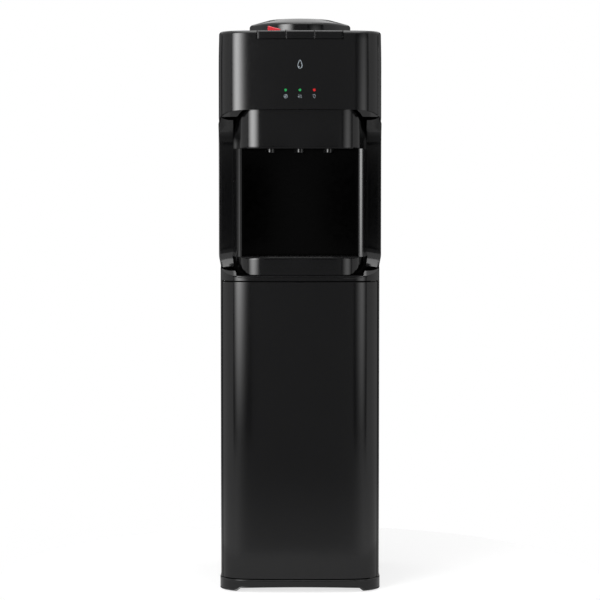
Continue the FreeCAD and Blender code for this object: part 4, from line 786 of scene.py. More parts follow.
@dataclass
class Casework:
    """Door skin with a near-black strip of painted shade in its top seam, side panels and plinth."""

    body: PlanOutline = PlanOutline(152.8)
    base: PlanOutline = PlanOutline(154.4)
    door_low: float = 26.0
    door_edge: float = 31.5
    notch: float = 1.3
    # Setbacks at which the strip of painted shade in the door seam ends, on the latch side and at the
    # hinge.
    shade_strip_edge: float = 31.0
    shade_strip_end: float = 28.0
    panel_edge: float = 35.5
    panel_rear: float = 154.5
    panel_top: float = 1040.0
    recess_low: float = 597.1
    recess_rear: float = -75.6
    rear: float = 159.0
    plinth_top: float = 24.0

    def build(self) -> None:
        """Build the door and the strip of painted shade in its seam, the two side panels and the plinth."""
        self.door()
        self.fill_seam_shade()
        self.panel("left", -1)
        self.panel("right", 1)
        self.plinth()

    def strip(self, name: str, path: np.ndarray, inset: np.ndarray, level: np.ndarray) -> Sheet:
        """Carry a closed profile across the front and cap both its ends.

        Args:
            name: Name of the piece.
            path: Points and normals across the front.
            inset: The profile's insets, (m,).
            level: The profile's levels, (m,) or (m, n).

        Returns:
            The sheet, not yet built.
        """
        points = risers(path, inset, level)
        loop = np.concatenate([points, points[:1]])
        sheet = Sheet(name).grid(loop)
        sheet.cap(loop[:, 0])
        sheet.cap(loop[:, -1], flip=True)
        return sheet

    def door(self) -> None:
        """Build the door skin, a 2 mm sheet whose top edge dips in a finger notch at the middle.

        The notch at an x is its depth times e^-((x / 5)^4).
        """
        path = self.body.front(self.body.sweep(self.body.angle_at(self.door_edge), stops=(0.0,)))
        dip = self.notch * np.exp(-(path[:, 0] / 5.0) ** 4)
        inset = np.array([2, 0.25, 0.07, 0, *([0] * 26), 0, 0.07, 0.25, 2, 2])
        upright = np.linspace(8, 561, 24)
        rise = np.array([0, 0, 0.07, 0.25, 0.8, *upright, 567.8, 568.35, 568.53, 568.6, 568.6, 284])
        level = self.door_low + rise[:, None] - dip[None, :] * (rise > 560)[:, None]
        self.strip("door_face", path, inset, level).build(
            GLOSS_ABS, "door", ("door_skin",), outward=True, slot="black_gloss")

    def fill_seam_shade(self) -> None:
        """Build the near-black strip behind the door's top edge: painted shade that fills the seam and ends
        at the hinge.
        """
        angles = self.body.sweep(self.body.angle_at(self.shade_strip_edge), stops=(0.0,))
        path = self.body.front(angles[angles < self.body.angle_at(self.shade_strip_end)])
        inset = np.array([3.0, 3.0, 3.3, 4.0, 7.0, 7.7, 8.0, 8.0])
        level = np.array([588.0, 596.0, 596.7, 597.0, 597.0, 596.7, 596.0, 588.0])
        self.strip("door_seam_shade_strip", path, inset, level).build(
            SEAM_SHADE_STRIP, "door", outward=True, slot="foot_rubber")

    def panel(self, label: str, side: int) -> None:
        """Build one side panel: the plan path from the corner to the rear, notched for the recess.

        Args:
            label: Which side it is on.
            side: -1 for the left and 1 for the right.
        """
        arc = self.body.front(np.linspace(self.body.angle_at(self.panel_edge), math.pi / 2, 9))
        y = np.concatenate([np.linspace(self.body.corner_y, self.recess_rear, 6)[1:],
                            np.linspace(self.recess_rear, self.panel_rear, 14)[1:]])
        path = np.concatenate([arc, straight(self.body.half, y, (1, 0))])
        level = np.concatenate([np.linspace(self.plinth_top, self.recess_low, 14),
                                np.linspace(self.recess_low, self.panel_top, 12)[1:]])
        points = risers(path if side > 0 else path * MIRROR, np.zeros(len(level)), level)
        ahead, above = path[:-1, 1] < self.recess_rear - 0.1, level[:-1] > self.recess_low - 0.1
        keep = ~(ahead[None, :] & above[:, None])
        Sheet(f"{label}_panel_sheet").grid(points, keep=keep, flip=side < 0).build(
            PAINTED_STEEL, "root", (f"{label}_side_panel",), 1.2, 0.35, slot="black_metal")

    def plinth(self) -> None:
        """Build the plinth's skirt, arched between the feet: the edge rises to 10.2 at the middle.

        Across is the share of the way from an arch's middle to its start at a foot. The edge rises
        from 2 by a smooth step of 5.4, which takes 6.6% of the way, and by 2.8 (1 - across^2) more.
        """
        shape, top = self.base, self.plinth_top
        arch_x, arch_y, shoulder = 122.0, 104.0, 8.0
        stops_x = np.array([-arch_x, -arch_x + shoulder, arch_x - shoulder, arch_x])
        stops_y = np.array([-arch_y, -arch_y + shoulder, arch_y - shoulder, arch_y])
        front = shape.front(shape.sweep(stops=tuple(stops_x)))
        y = np.sort(np.append(np.linspace(shape.corner_y, self.rear - 1, 30)[1:], stops_y))
        side = straight(shape.half, y, (1, 0))
        corner = np.array([[shape.half, self.rear, 1.0, 1.0]])
        back = straight(np.sort(np.append(np.linspace(-150, 150, 40), stops_x))[::-1], self.rear, (0, 1))
        path = np.concatenate([corner * MIRROR, side[::-1] * MIRROR, front, side, corner, back])
        across = np.where(np.abs(path[:, 3]) > 0.3, np.abs(path[:, 0]) / arch_x,
                          np.abs(path[:, 1]) / arch_y)
        arch = np.clip((1.0 - across) / 0.066, 0, 1)
        low = 2.0 + arch ** 2 * (3 - 2 * arch) * (5.4 + 2.8 * (1 - np.clip(across, 0, 1) ** 2))
        curve_in, curve_drop = quarter(1.2, 4)
        share = np.linspace(0, 1, 6)[:, None]
        level = np.concatenate([low * (1 - share) + (top - 1.2) * share,
                                np.repeat((top - curve_drop)[:, None], len(path), 1),
                                np.full((2, len(path)), top)])
        inset = np.concatenate([np.zeros(6), curve_in, [9.0, 40.0]])
        Sheet("plinth_skirt").grid(risers(path, inset, level), wrap=True).build(
            GLOSS_ABS, "root", ("base_plinth",), 2.6, 0.4, slot="black_gloss")


@dataclass
class Recess:
    """Recess band: apron and lower lip, brow under the head, and the side walls with their cheeks.

    A side wall ends short of the lip and the brow, so a dark slit runs between them.
    """

    body: PlanOutline = PlanOutline(152.8)
    cheek: PlanOutline = PlanOutline(157.2)
    head: PlanOutline = PlanOutline(152.9)
    apron_low: float = 597.5
    apron_rear: float = 94.0
    apron_climb: float = 0.525
    window: float = 128.7
    tray_corner: float = 27.0
    shelf: float = 72.0
    inner: float = 90.0
    wall_setback: float = 86.0
    edge_radius: float = 1.6
    lean: float = 0.1

    def build(self) -> None:
        """Build the band as one sheet with its wall behind."""
        sheet = Sheet("recess_band")
        self.apron(sheet)
        self.ledge(sheet, self.body, sill, self.under_tray, 8.0, False)
        self.ledge(sheet, self.head, brow, self.over_housing, 11.0, True)
        for side in (-1, 1):
            self.side_wall(sheet, side)
        sheet.build(GLOSS_ABS, "root", ("recess_moulding",), 2.2, 0.22, slot="black_gloss")

    def wall_profile(self) -> np.ndarray:
        """Work out a side wall from its foot upwards.

        The foot is 54 degrees of an ellipse, 42 deep and 47 high, that ends upright in the wall. The
        top bends forward along a parabola and runs on as a straight slant.

        Returns:
            Array of (n, 2): setbacks and levels.
        """
        t = np.linspace(0, 1, 14)[:, None]
        deep = self.wall_setback
        a = np.radians(54.0) * (1 - t)
        cove = np.concatenate([deep - 42.0 * (1 - np.cos(a)), 661.0 - 47.0 * np.sin(a)], 1)
        corner = np.array([(deep, 856.0), (deep, 874.3), (79.0, 884.0)])
        turn = (1 - t) ** 2 * corner[0] + 2 * t * (1 - t) * corner[1] + t ** 2 * corner[2]
        upright = np.linspace((deep, 668), (deep, 850), 12)
        return np.concatenate([cove, upright, turn, [(71.5, 894.3), (64.3, 904.2)]])

    def edge_points(self, shape: PlanOutline) -> np.ndarray:
        """Space out the points of a lip's edge.

        Args:
            shape: The plan that the edge follows.

        Returns:
            Setbacks from the front to the end of the edge's run.
        """
        angles = shape.sweep(shape.angle_at(47.0), stops=(0.0,))
        spots = shape.front(angles[angles >= 0])
        return np.append(spots[:, 1] - FRONT, EDGE_RUN)

    def apron(self, sheet: Sheet) -> None:
        """Add the apron, whose top follows the lip and then climbs beside the recess.

        Args:
            sheet: The sheet that gets it.
        """
        s = np.concatenate([self.edge_points(self.body), np.linspace(EDGE_RUN, self.apron_rear, 6)[1:]])
        x = self.body.half_at(s)
        climb = SILL_TOP + (s - EDGE_RUN - 2) * self.apron_climb
        top = np.where(s <= EDGE_RUN + 2, sill(s), climb)
        x, y, top = (np.concatenate([sign * part[:0:-1], part]) for sign, part in
                     ((-1, x), (1, s + FRONT), (1, top)))
        share = np.linspace(0, 1, 5)[:, None]
        z = self.apron_low * (1 - share) + top * share
        sheet.grid(np.stack([np.repeat(x[None, :], 5, 0), np.repeat(y[None, :], 5, 0), z], -1))

    def under_tray(self, x: np.ndarray) -> np.ndarray:
        """Give the level of the lip's rear part, which is low under the tray and high beside it.

        It takes a smooth step from 118 to 124, and from 132 to 148 it gains the square of the share
        times 2.8.

        Args:
            x: Distances from the middle.

        Returns:
            Levels.
        """
        step = np.clip((x - 118) / 6, 0, 1)
        high = 616.2 + 2.8 * np.clip((x - 132) / 16, 0, 1) ** 2
        return SILL_FRONT + (high - SILL_FRONT) * step ** 2 * (3 - 2 * step)

    def over_housing(self, x: np.ndarray) -> np.ndarray:
        """Give the level of the brow's rear part, which keeps 0.8 above the housing's round corner.

        The corner is a quarter circle of radius 24 about the point (96.6, 898.7).

        Args:
            x: Distances from the middle.

        Returns:
            Levels.
        """
        high = 898.7 + np.sqrt(24 ** 2 - np.clip(x - 96.6, 0, 24) ** 2)
        return np.maximum(high + 0.8, 909.2)

    def ledge(self, sheet: Sheet, shape: PlanOutline, edge: Callable[[np.ndarray], np.ndarray],
              back: Callable[[np.ndarray], np.ndarray], open_at: float, down: bool) -> None:
        """Add a lip or brow: a slope of about 45 degrees from its curved edge, then level to the rear.

        Args:
            sheet: The sheet that gets it.
            shape: The plan its edge follows.
            edge: Function that gives the edge's level at a setback.
            back: Function that gives the rear part's level at an x.
            open_at: Setback behind which the middle is open for the tap module.
            down: True if it faces down.
        """
        s = self.edge_points(shape)
        x, z = shape.half_at(s), edge(s)
        level = np.minimum(back(x), z - 0.1) if down else np.maximum(back(x), z - 0.9)
        rear = np.interp(x, (self.inner - 2, self.inner + 6), (open_at, self.shelf))
        # A slope at least 0.8 deep keeps its faces from collapsing where both levels meet.
        turn = np.minimum(s + np.maximum(np.abs(level - z), 0.8), rear - 0.5)
        t = np.linspace(0, 1, 5)[:, None]
        depth = np.concatenate([s * (1 - t) + turn * t, (turn * (1 - t) + rear * t)[1:]])
        height = np.concatenate([z * (1 - t) + level * t, np.repeat(level[None, :], 4, 0)])
        points = np.stack([np.repeat(x[None, :], 9, 0), depth + FRONT, height], -1)
        sheet.grid(np.concatenate([(points * [-1, 1, 1])[:, :0:-1], points], 1), flip=down)

    def side_wall(self, sheet: Sheet, side: int) -> None:
        """Add a side of the recess and its cheek: across the wall, round its edge, back along the side.

        Args:
            sheet: The sheet that gets it.
            side: -1 for the left and 1 for the right.
        """
        profile, r = self.wall_profile(), self.edge_radius
        s, z = profile[:, 0], profile[:, 1]
        face, lean = self.wall_face(s, z)
        reach = face[:, -1, 0] + r
        # The edge is a quarter circle between sideways and the way that the wall faces.
        slope = np.gradient(profile, axis=0)
        away = np.stack([slope[:, 1], -slope[:, 0]], -1) / np.hypot(slope[:, 0], slope[:, 1])[:, None]
        a = np.linspace(0, math.pi / 2, 5)[None, 1:]
        dip = r * (1 - np.cos(a))
        turn = np.stack([(reach - r)[:, None] + r * np.sin(a),
                         (s - lean[:, -1])[:, None] + away[:, :1] * dip,
                         face[:, -1, 2:] + away[:, 1:] * dip], -1)
        # The cheek runs straight back to the side panel.
        b = np.linspace(0, 1, 5)[None, 1:, None]
        target = np.stack([np.full(len(s), self.body.half + 0.25), np.full(len(s), 122.0),
                           np.clip(z, 630, 897.2)], -1)[:, None, :]
        cheek = turn[:, -1:, :] * (1 - b) + target * b
        points = np.concatenate([face, turn, cheek], 1)
        points[..., 0] *= side
        points[..., 1] += FRONT
        sheet.grid(points, flip=side < 0)

    def wall_face(self, s: np.ndarray, z: np.ndarray) -> tuple[np.ndarray, np.ndarray]:
        """Work out the wall's face, from its inner edge to the start of its rounded outer edge.

        The outer edge swells from the body's side to the cheek's by smooth steps, over 28 at the foot
        and over 16 at the top. The inner edge follows the tray's round corner. Between them the wall
        turns inward by 6 degrees. Towards the outer edge its top rises by 4.2 and its foot falls by
        2.4, each by the square of the share, to meet the ledges.

        Args:
            s: Setbacks of the wall's profile.
            z: Levels of the wall's profile.

        Returns:
            Array of (n, 6, 3), and how far each point leans forward, (n, 6).
        """
        share, upper = np.clip((z - 619) / 28, 0, 1), np.clip((910 - z) / 16, 0, 1)
        blend = share ** 2 * (3 - 2 * share) * upper ** 2 * (3 - 2 * upper)
        least = self.body.half - 0.3
        reach = least + (self.cheek.half - least) * blend
        r = self.tray_corner
        inner = self.window - r + np.sqrt(r ** 2 - np.clip(634.4 - z, 0, r) ** 2)
        t = np.linspace(0, 1, 6)[None, :]
        x = inner[:, None] * (1 - t) + (reach - self.edge_radius)[:, None] * t
        upright = np.clip((z - 630) / 30, 0, 1) * np.clip((904 - z) / 20, 0, 1)
        lean = self.lean * (x - self.window) * upright[:, None]
        meet = np.clip((x - 134) / 16, 0, 1) ** 2
        level = (z[:, None] + 4.2 * meet * np.clip((z - 886) / 18, 0, 1)[:, None]
                 - 2.4 * meet * np.clip((634 - z) / 12, 0, 1)[:, None])
        return np.stack([x, s[:, None] - lean, level], -1), lean


@dataclass
class Fascia:
    """A moulded front with rounded upright edges, cut to rounded corners and drafted to the rear.

    Edge and fall are the half axes of the ellipse that rounds an upright edge, bulge is the radius of
    the front's slow arc, and flare is how far the sides swing out at the rear.
    """

    name: str
    half: float
    rear_half: float
    low: float
    high: float
    low_corner: float
    high_corner: float
    front: float = -158.0
    rear: float = -84.3
    edge: float = 42.0
    fall: float = 22.0
    bulge: float = 1800.0
    flare: float = 0.0

    def width(self, z: float | np.ndarray) -> float | np.ndarray:
        """Give the half width: full, or cut by the quarter circle of a corner.

        Args:
            z: Levels.

        Returns:
            Half widths.
        """
        low = np.clip(self.low + self.low_corner - z, 0, self.low_corner)
        high = np.clip(z - self.high + self.high_corner, 0, self.high_corner)
        return (self.half - self.low_corner + np.sqrt(self.low_corner ** 2 - low ** 2)
                - self.high_corner + np.sqrt(self.high_corner ** 2 - high ** 2))

    def depth(self, x: np.ndarray) -> np.ndarray:
        """Give the Y of the front face: a slow arc, then a quarter of an ellipse at each edge.

        Args:
            x: X places across the front.

        Returns:
            Y of the face.
        """
        over = np.clip(np.abs(x) - (self.half - self.edge), 0, self.edge) / self.edge
        return self.front + x ** 2 / (2 * self.bulge) + self.fall * (1 - np.sqrt(1 - over ** 2))

    def ring(self, z: float, shrink: float = 0.0) -> np.ndarray:
        """Work out the loop of points at a level.

        Its points crowd towards the upright edges, as a mean of even steps and steps of a sine.

        Args:
            z: The level.
            shrink: How far the loop is set in, measured from the middle of its rear.

        Returns:
            Array of (n, 3), from the rear left, round the front to the rear right.
        """
        limit = float(self.width(z))
        even = np.linspace(-1, 1, 71)
        x = (np.sin(even * math.pi / 2) * 0.45 + even * 0.55) * limit
        y = self.depth(x)
        t = np.linspace(0, 1, 12)[1:]
        right = np.stack([limit + (self.rear_half - self.half) * t + self.flare * t ** 6,
                          y[-1] + (self.rear - y[-1]) * t], -1)
        loop = np.concatenate([right[::-1] * [-1, 1], np.stack([x, y], -1), right])
        centre = np.array([0.0, self.rear])
        wide = np.abs(loop[:, 0]).max()
        scale = np.array([1 - shrink / wide, 1 - shrink / (self.rear - self.front)])
        return np.column_stack([centre + (loop - centre) * scale, np.full(len(loop), z)])


@dataclass
class TapModule:
    """Tap housing, spouts, columns beside the alcove, and drip tray."""

    spout_y: float = -100.0
    pitch: float = 56.0

    def build(self) -> None:
        """Build the module from the top down."""
        self.housing()
        self.spouts()
        self.columns()
        self.tray()

    def housing(self) -> None:
        """Build the housing: rings from its underside up the front to its top."""
        form = Fascia("tap_fascia", half=114.6, rear_half=125.6, low=848.7, high=922.7, low_corner=0.0,
                      high_corner=24.0, flare=3.0)
        rows = [form.ring(form.low, 60), form.ring(form.low, 1.1), form.ring(849.0, 0.35), form.ring(849.8)]
        rows += [form.ring(z) for z in np.linspace(853, 897, 8)]
        rows += [form.ring(form.high + form.high_corner * (math.sin(a) - 1))
                 for a in np.linspace(0.05, 1.45, 12)]
        Sheet(form.name).grid(np.array(rows)).build(
            GLOSS_ABS, "root", ("tap_housing",), 2.2, 0.4, slot="black_gloss")

    def spouts(self) -> None:
        """Build the three spouts: turned tubes with a chamfered lip and a bore."""
        outline = np.array([(6.5, 877.5), (9.8, 877.5), (9.8, 850), (9.8, 843.0), (9.8, 842.2),
                            (9.5, 841.5), (8.9, 841.05), (8.2, 841.0), (7.2, 841.3), (6.5, 842.4),
                            (6.5, 877.5)])
        sheet = Sheet("spout_tubes")
        for step in (-1, 0, 1):
            sheet.grid(turned(outline, step * self.pitch, self.spout_y, 48), wrap=True)
        sheet.build(GLOSS_ABS, "root", ("tap_spouts",), outward=True, slot="black_gloss")

    def columns(self) -> None:
        """Build the columns: a closed section whose front face turns towards the alcove, run upright."""
        section = np.array([(111.0, -84.0), (111.0, -151.0), (111.1, -154.8), (111.9, -155.6),
                            (118.3, -157.5), (119.0, -157.6), (119.7, -156.8), (120.2, -150.0),
                            (128.4, -84.0)])
        z = np.array([643.2, 645.0, 648.0, 652.0, 656.0, 660.0, 700.0, 760.0, 820.0, 848.4])[:, None]
        # The foot flares outward by 3 over its last 17.
        flare = 3.0 * np.clip((660 - z) / 17, 0, 1) ** 2 * (section[:, 0] > 115)
        sheet = Sheet("alcove_pillars")
        for side in (-1, 1):
            points = np.stack(np.broadcast_arrays(side * (section[:, 0] + flare), section[:, 1], z), -1)
            sheet.grid(points, wrap=True)
            sheet.cap(points[0], wrap=True)
            sheet.cap(points[-1], wrap=True)
        sheet.build(GLOSS_ABS, "root", ("alcove_columns",), outward=True, slot="black_gloss")

    def tray(self) -> None:
        """Build the tray: rings up the outside, over the rim, down to the ledge and the basin."""
        form = Fascia("tray_basin", half=114.0, rear_half=124.3, low=607.4, high=642.9, low_corner=27.0,
                      high_corner=0.0)
        rows = [form.ring(form.low, 60), form.ring(form.low, 0.9), form.ring(607.7, 0.2)]
        rows += [form.ring(form.low + form.low_corner * (1 - math.cos(a)))
                 for a in np.linspace(0.22, math.pi / 2, 12)]
        rows += [form.ring(z, inset) for z, inset in (
            (637.0, 0.0), (641.9, 0.0), (642.6, 0.3), (form.high, 1.0), (form.high, 3.4), (640.4, 3.7),
            (640.4, 6.0), (612.0, 6.3), (610.6, 40.0))]
        Sheet(form.name).grid(np.array(rows), wrap=True).build(
            GLOSS_ABS, "tray", ("drip_tray",), 0.0, 0.3, slot="black_gloss")


@dataclass
class Indicators:
    """Printed signs under the lamps and a plain water drop where a badge would sit."""

    outline: PlanOutline = PlanOutline(155.7)
    level: float = 947.0
    drop_level: float = 1007.5
    pitch: float = 27.0
    sign_half: float = 3.4
    stroke: float = 0.5
    drop_half: float = 8.0
    drop_stroke: float = 1.0
    proud: float = 0.08

    def ribbon(self, sheet: Sheet, strokes: list[np.ndarray], x: float, z: float, width: float) -> None:
        """Lay strokes on the front as flat ribbons of ink, a hair proud of it.

        Each stroke's points are moved half a width to both sides of its own direction. Their depth is
        the front's arc: face - sqrt(face^2 - x^2).

        Args:
            sheet: The sheet that gets them.
            strokes: Arrays of (n, 2) points round the sign's middle.
            x: X of the sign's middle.
            z: Level of the sign's middle.
            width: Width of a stroke.
        """
        for stroke in strokes:
            way = np.gradient(stroke, axis=0)
            way /= np.maximum(np.hypot(way[:, 0], way[:, 1]), 1e-9)[:, None]
            normal = np.stack([-way[:, 1], way[:, 0]], -1) * width / 2
            sides = np.stack([stroke - normal, stroke + normal])
            px, face = sides[..., 0] + x, self.outline.face
            py = FRONT + face - np.sqrt(face ** 2 - px ** 2) - self.proud
            sheet.grid(np.stack([px, py, sides[..., 1] + z], -1))

    def build(self) -> None:
        """Print a ring with a flake, three waves of heat, a flame and the drop.

        The flame and the drop are closed curves whose width is a sine of the turn, pinched towards
        their tips. The drop has a short arc of shine inside.
        """
        sheet = Sheet("printed_signs")
        a = np.linspace(0, 2 * math.pi, 33)
        circle = np.stack([np.cos(a), np.sin(a)], -1)
        arms = [np.array([(-math.cos(t), -math.sin(t)), (math.cos(t), math.sin(t))]) * 2.6
                for t in (0, math.pi / 3, 2 * math.pi / 3)]
        self.ribbon(sheet, [circle * self.sign_half, *arms], -self.pitch, self.level, 0.45)
        wave = np.linspace(-1, 1, 21)
        heat = [np.stack([0.5 * np.sin(wave * 5) + shift, wave * 3.2], -1) for shift in (-2.4, 0.0, 2.4)]
        self.ribbon(sheet, heat, 0.0, self.level, self.stroke)
        flame = np.stack([2.6 * np.sin(a) * (1 - 0.55 * np.cos(a / 2) ** 2),
                          -self.sign_half * np.cos(a)], -1)
        self.ribbon(sheet, [flame], self.pitch, self.level, self.stroke)
        body = np.stack([5.2 * np.sin(a) * np.sin(a / 2), self.drop_half * np.cos(a)], -1)
        shine = np.stack([-2.6 * np.cos(a[3:9] - 0.2), -2.0 - 3.2 * np.sin(a[3:9])], -1)
        self.ribbon(sheet, [body, shine], 0.0, self.drop_level, self.drop_stroke)
        sheet.build(PRINT, "root", wall=0.06, slot="circuit_board")


@dataclass
class InnerWorks:
    """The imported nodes. Each takes a finish, which shows where no modelled piece stands for the node."""

    record: dict
    # Steel nodes painted black as painted shade, so the seams they show in stay dark.
    seam_shade_nodes: tuple[str, ...] = ("door_hinges", "key_pivot_rod")

    def dress(self) -> None:
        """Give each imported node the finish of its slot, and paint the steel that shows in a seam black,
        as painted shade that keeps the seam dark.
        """
        owner = {part["node"]: part["material_slot"] for part in self.record["subparts"]}
        for name, item in frame["nodes"].items():
            finish = ENAMEL if name in self.seam_shade_nodes else SLOTS[owner[name]]
            item.data.materials.clear()
            item.data.materials.append(finish.material())
            LOG.info("%s: %s", name, finish.title)


def bare_material(title: str) -> bpy.types.Material:
    """Make a material with no nodes in it.

    Args:
        title: The material's name.

    Returns:
        The material.
    """
    made = bpy.data.materials.new(title)
    made.use_nodes = True
    made.node_tree.nodes.clear()
    return made


def stand(name: str, points: np.ndarray, paint: bpy.types.Material, hidden: tuple[str, ...] = (),
          wrap: bool = False) -> bpy.types.Object:
    """Put up a surface of the studio, which is no part of the object.

    Args:
        name: Its name.
        points: Array of (rows, columns, 3) in metres.
        paint: Its material.
        hidden: The kinds of ray that pass it unseen.
        wrap: True if its last column joins its first.

    Returns:
        The new object.
    """
    rows, columns = points.shape[:2]
    mesh = bpy.data.meshes.new(name)
    mesh.from_pydata(points.reshape(-1, 3).tolist(), [], grid_faces(rows, columns, wrap).tolist())
    mesh.materials.append(paint)
    item = bpy.data.objects.new(name, mesh)
    bpy.context.scene.collection.objects.link(item)
    for kind in hidden:
        setattr(item, f"visible_{kind}", False)
    item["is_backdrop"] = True
    return item


@dataclass(frozen=True)
class SoftBox:
    """An upright glowing cloth in front of the object, brightest along its middle.

    The azimuth is how many degrees it stands to the left of straight ahead. Low and high are the
    levels of its edges, and rise and fall the heights over which it brightens and dims. All lengths
    are in metres.
    """

    name: str
    azimuth: float
    width: float
    low: float
    high: float
    rise: float
    fall: float
    peak: float
    distance: float = 2.4

    def build(self) -> None:
        """Stand the cloth facing the object, and paint its glow.

        The glow is the peak times three smooth steps: down from the middle to both upright edges, up
        from the low edge, and down to the high edge.
        """
        # Diffusing cloth lit from behind: black gloss mirrors it as a long streak with no edge.
        paint = bare_material(f"{self.name}_cloth")
        tree = paint.node_tree
        place = add(tree, "ShaderNodeTexCoord")
        parts = add(tree, "ShaderNodeSeparateXYZ", {0: place.outputs["Object"]})
        side = add(tree, "ShaderNodeMath", {0: parts.outputs["X"]}, operation="ABSOLUTE")
        level = self.peak
        for source, begin, end, first, last in (
                (side.outputs[0], 0.0, self.width / 2, 1.0, 0.0),
                (parts.outputs["Z"], self.low, self.low + self.rise, 0.0, 1.0),
                (parts.outputs["Z"], self.high - self.fall, self.high, 1.0, 0.0)):
            step = add(tree, "ShaderNodeMapRange",
                       {"Value": source, "From Min": begin, "From Max": end, "To Min": first,
                        "To Max": last}, interpolation_type="SMOOTHSTEP")
            level = add(tree, "ShaderNodeMath", {0: level, 1: step.outputs["Result"]},
                        operation="MULTIPLY").outputs[0]
        glow = add(tree, "ShaderNodeEmission", {"Color": WHITE, "Strength": level})
        add(tree, "ShaderNodeOutputMaterial", {"Surface": glow.outputs[0]})
        x, z = np.meshgrid(np.linspace(-0.5, 0.5, 9) * self.width, np.linspace(self.low, self.high, 9))
        item = stand(self.name, np.stack([x, 0 * x, z], -1), paint, hidden=("camera",))
        turn = math.radians(self.azimuth)
        item.location = (-self.distance * math.sin(turn), -self.distance * math.cos(turn), 0.0)
        item.rotation_euler = (0.0, 0.0, math.pi - turn)


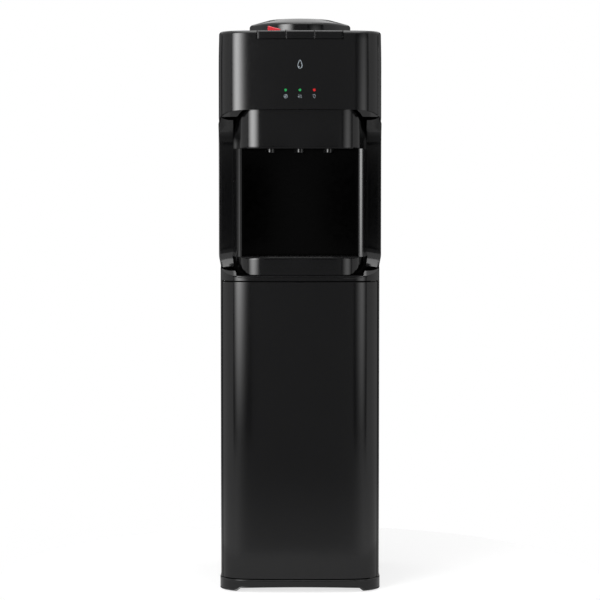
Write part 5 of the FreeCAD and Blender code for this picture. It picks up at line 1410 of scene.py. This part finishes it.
@dataclass
class Studio:
    """Camera, soft lights, floor and surroundings.

    Lengths are in metres, the lens and its sensor in millimetres and the tilt in degrees.
    """

    camera_y: float = -3.970
    camera_z: float = 0.770
    tilt: float = 3.142
    lens: float = 120.2
    sensor: float = 36.0
    sweep_level: float = -0.0002
    wall_level: float = -0.004
    card_y: float = -2.0

    def build(self) -> None:
        """Set the camera, the lights, the floor and all that surrounds the object."""
        self.camera()
        self.lights()
        self.floor()
        self.world()
        self.walls()
        self.flags()
        bpy.context.scene.view_settings.view_transform = "Standard"

    def camera(self) -> None:
        """Place the camera in front, a little above the middle and tilted down."""
        data = bpy.data.cameras.new("front_camera")
        data.lens, data.sensor_width = self.lens, self.sensor
        data.clip_start, data.clip_end = 0.05, 60.0
        item = bpy.data.objects.new("front_camera", data)
        item.location = (0.0, self.camera_y, self.camera_z)
        item.rotation_euler = (math.radians(90 - self.tilt), 0.0, 0.0)
        bpy.context.scene.collection.objects.link(item)
        bpy.context.scene.camera = item

    def lights(self) -> None:
        """Stand a tall soft box on the left, a weaker one on the right, and hang one overhead."""
        SoftBox("left_box", azimuth=33.0, width=1.85, low=-0.1, high=2.3, rise=1.2, fall=0.6,
                peak=11.0).build()
        SoftBox("right_box", azimuth=-35.0, width=1.6, low=-0.2, high=1.9, rise=0.75, fall=1.3,
                peak=2.0).build()
        data = bpy.data.lights.new("top_box", "AREA")
        data.shape, data.size, data.size_y, data.energy = "RECTANGLE", 2.0, 2.6, 44.0
        item = bpy.data.objects.new("top_box", data)
        item.location = (0.0, -0.7, 3.0)
        bpy.context.scene.collection.objects.link(item)

    def seen(self, tree: bpy.types.NodeTree) -> bpy.types.NodeSocket:
        """Tell rays that look at a surface from rays that gather its light.

        Args:
            tree: The node tree.

        Returns:
            A socket that is 1 for rays from the camera, off a gloss or through something clear, and
            else 0.
        """
        path = add(tree, "ShaderNodeLightPath").outputs
        looks = add(tree, "ShaderNodeMath", {0: path["Is Camera Ray"], 1: path["Is Glossy Ray"]},
                    operation="MAXIMUM")
        either = add(tree, "ShaderNodeMath", {0: looks.outputs[0], 1: path["Is Transmission Ray"]},
                     operation="MAXIMUM")
        return either.outputs[0]

    def floor(self) -> None:
        """Lay a round white floor of 0.6 radius that keeps the soft shadow.

        It is matt and also glows: 0.72 to the camera, 0.25 in reflections, and not at all as light.
        """
        # Matt white paper: plain white to the eye, and the object's soft shadow shows on it.
        paint = bare_material("white_paper_sweep")
        tree = paint.node_tree
        matt = add(tree, "ShaderNodeBsdfDiffuse", {"Color": (0.4, 0.4, 0.4, 1)})
        path = add(tree, "ShaderNodeLightPath").outputs
        share = add(tree, "ShaderNodeMapRange",
                    {"Value": path["Is Camera Ray"], "To Min": 0.25, "To Max": 0.72})
        level = add(tree, "ShaderNodeMath", {0: self.seen(tree), 1: share.outputs["Result"]},
                    operation="MULTIPLY")
        glow = add(tree, "ShaderNodeEmission", {"Color": WHITE, "Strength": level.outputs[0]})
        both = add(tree, "ShaderNodeAddShader", {0: matt.outputs[0], 1: glow.outputs[0]})
        add(tree, "ShaderNodeOutputMaterial", {"Surface": both.outputs[0]})
        a = np.linspace(0, 2 * math.pi, 96, endpoint=False)
        r = np.array([0.000001, 0.12, 0.3, 0.45, 0.6])[:, None]
        z = np.full((len(r), len(a)), self.sweep_level)
        stand("studio_floor", np.stack([r * np.cos(a), r * np.sin(a), z], -1), paint, wrap=True)

    def world(self) -> None:
        """Make the world white to look at and a plain grey as light."""
        world = bpy.data.worlds.new("studio_air")
        bpy.context.scene.world = world
        world.use_nodes = True
        tree = world.node_tree
        tree.nodes.clear()
        level = add(tree, "ShaderNodeMapRange", {"Value": self.seen(tree), "To Min": 0.35, "To Max": 1.0})
        air = add(tree, "ShaderNodeBackground", {"Color": WHITE, "Strength": level.outputs["Result"]})
        add(tree, "ShaderNodeOutputWorld", {"Surface": air.outputs[0]})

    def walls(self) -> None:
        """Lay the studio's outer floor and low grey walls, which only show in reflections.

        By the angle from straight ahead, in radians, the glow rises by a smooth step from nothing to
        0.45 at the sides, times a smooth fall behind the object. A share of 0.42 close to the object,
        which fades to 0.2 farther out, is added.
        """
        # Painted wall in half light: a grey that lifts the gloss on the sides off plain black.
        paint = bare_material("grey_studio_wall")
        tree = paint.node_tree
        place = add(tree, "ShaderNodeTexCoord")
        parts = add(tree, "ShaderNodeSeparateXYZ", {0: place.outputs["Object"]})
        ahead = add(tree, "ShaderNodeMath", {0: parts.outputs["Y"], 1: -1.0}, operation="MULTIPLY")
        around = add(tree, "ShaderNodeMath", {0: parts.outputs["X"], 1: ahead.outputs[0]},
                     operation="ARCTAN2")
        angle = add(tree, "ShaderNodeMath", {0: around.outputs[0]}, operation="ABSOLUTE")
        rise, fall = (add(tree, "ShaderNodeMapRange",
                          {"Value": angle.outputs[0], "From Min": begin, "From Max": end,
                           "To Min": first, "To Max": last}, interpolation_type="SMOOTHSTEP")
                      for begin, end, first, last in ((0.12, 0.8, 0.0, 0.45), (1.6, 2.8, 1.0, -0.2)))
        sides = add(tree, "ShaderNodeMath", {0: rise.outputs["Result"], 1: fall.outputs["Result"]},
                    operation="MULTIPLY")
        away = add(tree, "ShaderNodeVectorMath", {0: place.outputs["Object"]}, operation="LENGTH")
        near = add(tree, "ShaderNodeMapRange", {"Value": away.outputs["Value"], "From Min": 0.6,
                                                "From Max": 1.7, "To Min": 0.42, "To Max": 0.2})
        level = add(tree, "ShaderNodeMath", {0: sides.outputs[0], 1: near.outputs["Result"]},
                    operation="ADD")
        glow = add(tree, "ShaderNodeEmission", {"Color": WHITE, "Strength": level.outputs[0]})
        add(tree, "ShaderNodeOutputMaterial", {"Surface": glow.outputs[0]})
        a = np.linspace(0, 2 * math.pi, 64, endpoint=False)
        low = self.wall_level
        rings = np.array([(0.62, low), (1.2, low), (2.0, low), (4.0, low), (7.5, low), (7.5, 1.6),
                          (7.5, 3.6)])
        r, z = rings[:, :1], np.repeat(rings[:, 1:], len(a), 1)
        stand("studio_walls", np.stack([r * np.cos(a), r * np.sin(a), z], -1), paint, GLOSS_ONLY, True)

    def flags(self) -> None:
        """Stand a black card on each side of the camera, which only shows in the recess's side walls."""
        # Flocked black card: no light comes back from it, so its mirror image is a dark band.
        paint = bpy.data.materials.new("black_card")
        paint.use_nodes = True
        shader = paint.node_tree.nodes["Principled BSDF"]
        shader.inputs["Base Color"].default_value = linear("#000000")
        shader.inputs["Specular IOR Level"].default_value = 0.0
        for name, reach in (("left_card", (-0.28, -0.07)), ("right_card", (0.07, 0.28))):
            x, z = np.meshgrid(np.array(reach), np.array((0.60, 0.87)))
            stand(name, np.stack([x, np.full_like(x, self.card_y), z], -1), paint, GLOSS_ONLY)


def corners() -> list[list[float]]:
    """Read the shown object's box.

    Returns:
        Its lowest and highest corner, as plain lists in metres.
    """
    return [list(corner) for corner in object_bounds()]


def main() -> None:
    """Build every piece and the studio."""
    logging.basicConfig(level=logging.INFO, format="%(message)s")
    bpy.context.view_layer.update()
    Studio().build()
    InnerWorks(frame["record"]).dress()
    for part in (Casework(), Recess(), Head(), Keys(), BottleSeat(), TapModule(), Indicators()):
        part.build()
        LOG.info("%s done", type(part).__name__)


if __name__ == "__main__":
    main()
